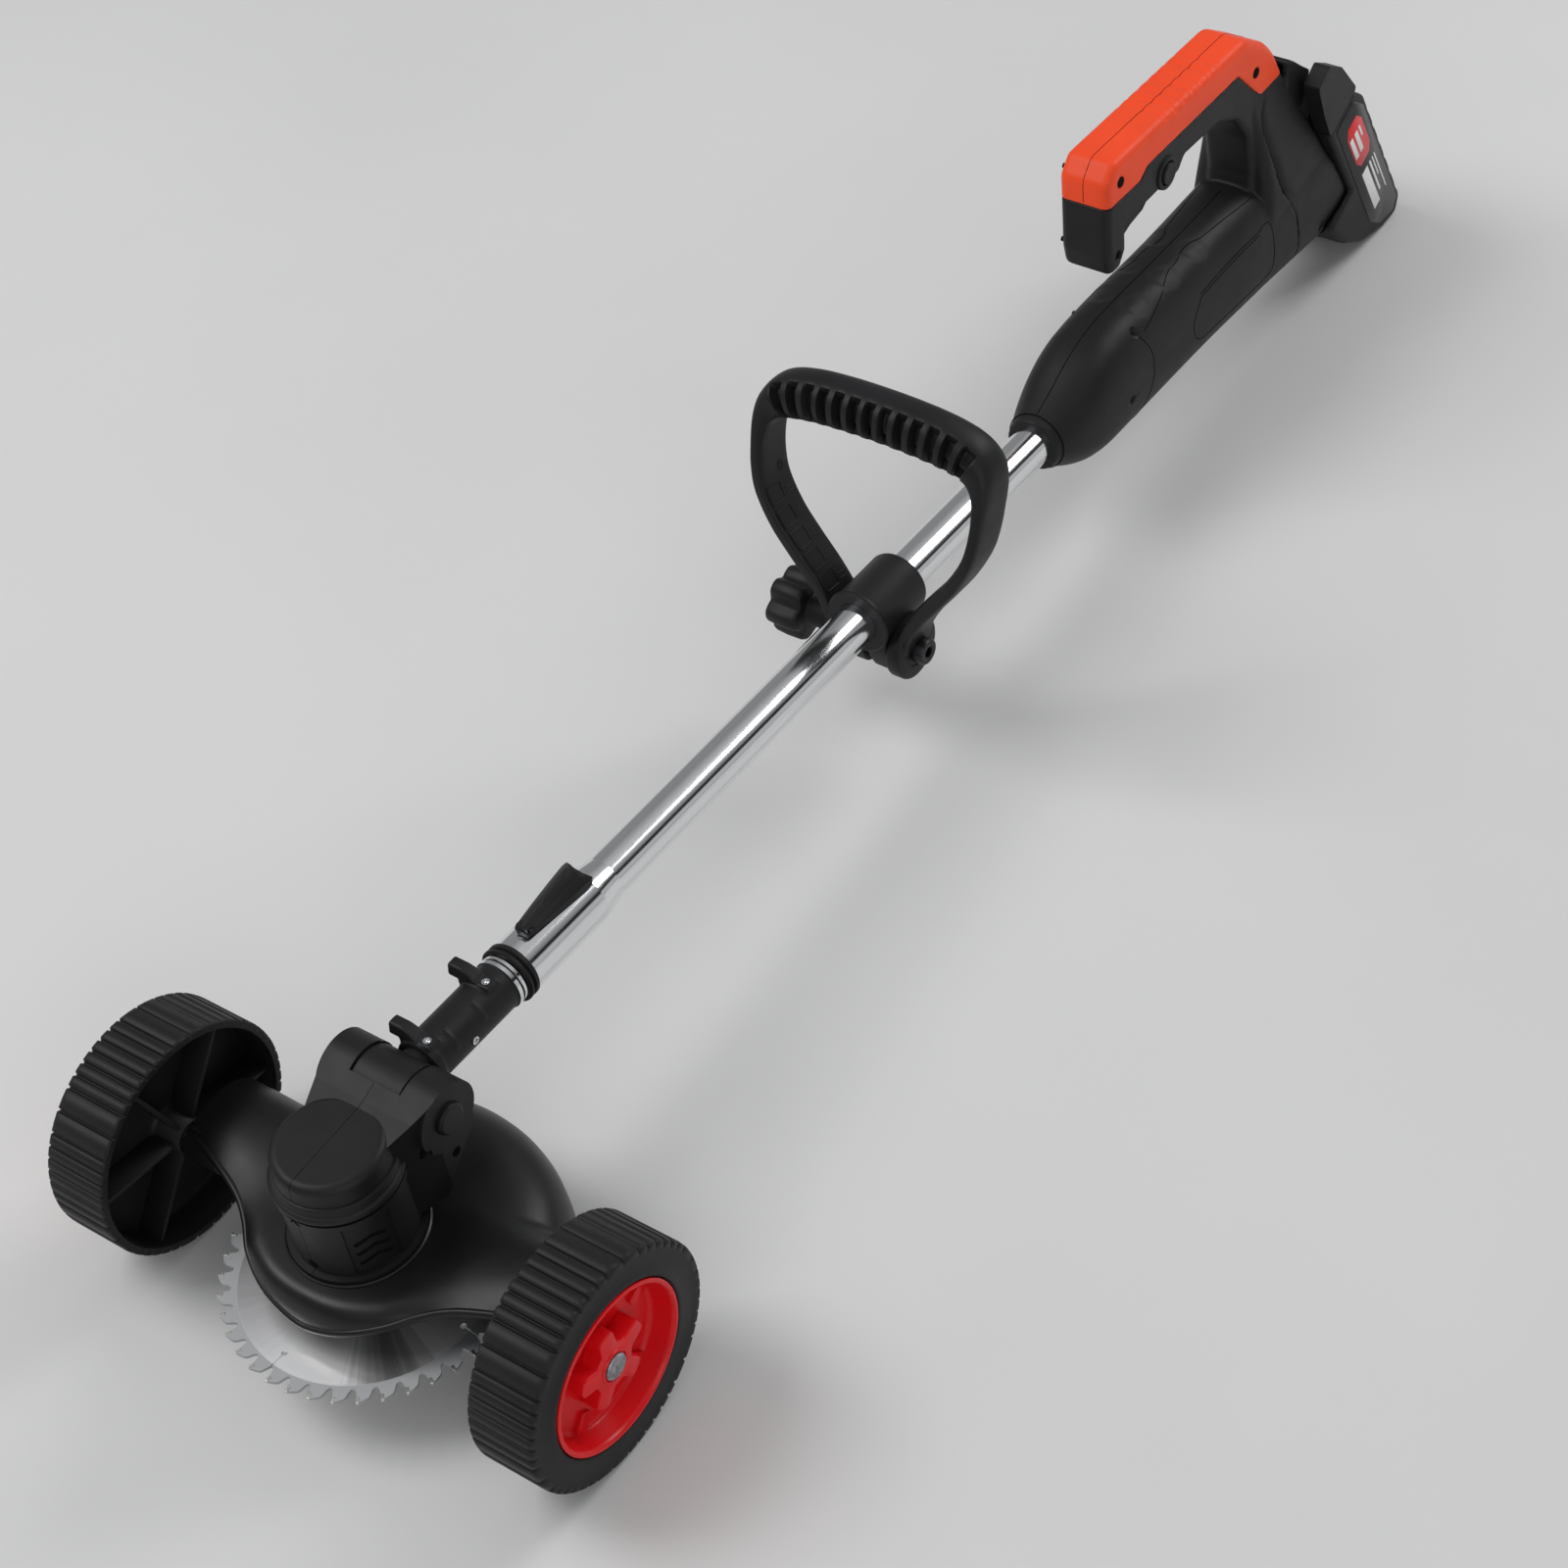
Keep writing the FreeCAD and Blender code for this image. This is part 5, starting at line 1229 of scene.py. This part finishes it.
# ---------------------------------------------------------------- stage
def floor():
    material, tree, shader = new_material("floor_paint")
    tree.links.new(ramp(tree, noise_at(tree, 2.5, 4), 0.3, 0.7, (0.66, 0.66, 0.655), (0.69, 0.69, 0.685)),
                   shader.inputs["Base Color"])
    shader.inputs["Roughness"].default_value = 0.75
    bpy.ops.mesh.primitive_plane_add(size=30, location=(0, 0, -0.0005))
    plane = bpy.context.object
    plane.name = "floor"
    plane.data.materials.append(material)


STRIP = ((-70, 0.5), (-30, 1.0), (-6, 0.8), (18, 0.4), (22, 0.02), (33, 0.02), (36, 1.0), (60, 0.8), (110, 0.45))


def area_light(name, place, target, size, power, tint=(1, 1, 1), size_y=None):
    data = bpy.data.lights.new(name, "AREA")
    data.energy = power
    data.color = tint
    data.size = size
    if size_y:
        data.shape = "RECTANGLE"
        data.size_y = size_y
    lamp = bpy.data.objects.new(name, data)
    lamp.location = place
    lamp.rotation_euler = (Vector(target) - Vector(place)).to_track_quat("-Z", "Y").to_euler()
    bpy.context.collection.objects.link(lamp)


def room():
    """Pale surroundings with one dark strip, which the plated tube mirrors as a line along it."""
    world = bpy.data.worlds.new("soft_room")
    world.use_nodes = True
    tree = world.node_tree
    shader = tree.nodes["Background"]
    axis = Vector((0, math.cos(math.radians(4.23)), -math.sin(math.radians(4.23))))
    toward = Vector((0.4668, -0.5108, 0.7219))
    first = (toward - axis * toward.dot(axis)).normalized()
    second = axis.cross(first)
    coords = add_node(tree, "ShaderNodeTexCoord")
    parts = []
    for direction in (first, second):
        dot = add_node(tree, "ShaderNodeVectorMath", operation="DOT_PRODUCT")
        dot.inputs[1].default_value = direction
        tree.links.new(coords.outputs["Generated"], dot.inputs[0])
        parts.append(dot.outputs["Value"])
    turn = add_node(tree, "ShaderNodeMath", operation="ARCTAN2")
    tree.links.new(parts[1], turn.inputs[0])
    tree.links.new(parts[0], turn.inputs[1])
    strip = add_node(tree, "ShaderNodeMapRange")
    strip.inputs["From Min"].default_value = -math.pi
    strip.inputs["From Max"].default_value = math.pi
    tree.links.new(turn.outputs["Value"], strip.inputs["Value"])
    shade = add_node(tree, "ShaderNodeValToRGB")
    points = shade.color_ramp.elements
    points[0].position = 0.0
    points[0].color = (0.55, 0.56, 0.58, 1)
    points[1].position = 1.0
    points[1].color = (0.55, 0.56, 0.58, 1)
    for turn_degrees, level in STRIP:
        stop = points.new(turn_degrees / 360 + 0.5)
        stop.color = (level, level * 1.01, level * 1.03, 1)
    tree.links.new(strip.outputs["Result"], shade.inputs["Fac"])
    tree.links.new(shade.outputs["Color"], shader.inputs["Color"])
    shader.inputs["Strength"].default_value = 0.5
    return world


def lights():
    area_light("key", (-1.6, -0.6, 2.6), (0, 0.4, 0.1), 1.6, 46)
    area_light("fill", (2.2, -1.4, 1.5), (0, 0.4, 0.1), 1.8, 17)
    area_light("rim", (0.9, 2.6, 1.9), (0, 0.5, 0.1), 1.2, 26)
    bpy.context.scene.world = room()


def camera():
    data = bpy.data.cameras.new("camera")
    data.lens = 74.25
    data.sensor_width = 36
    eye = bpy.data.objects.new("camera", data)
    axes = Matrix(((0.8148, -0.3438, 0.4668), (0.5658, 0.6472, -0.5108), (-0.1265, 0.6804, 0.7219)))
    eye.matrix_world = Matrix.Translation((0.8625, -0.5737, 1.3849)) @ axes.to_4x4()
    bpy.context.collection.objects.link(eye)
    bpy.context.scene.camera = eye


floor()
lights()
camera()
bpy.context.scene.view_settings.view_transform = "Standard"
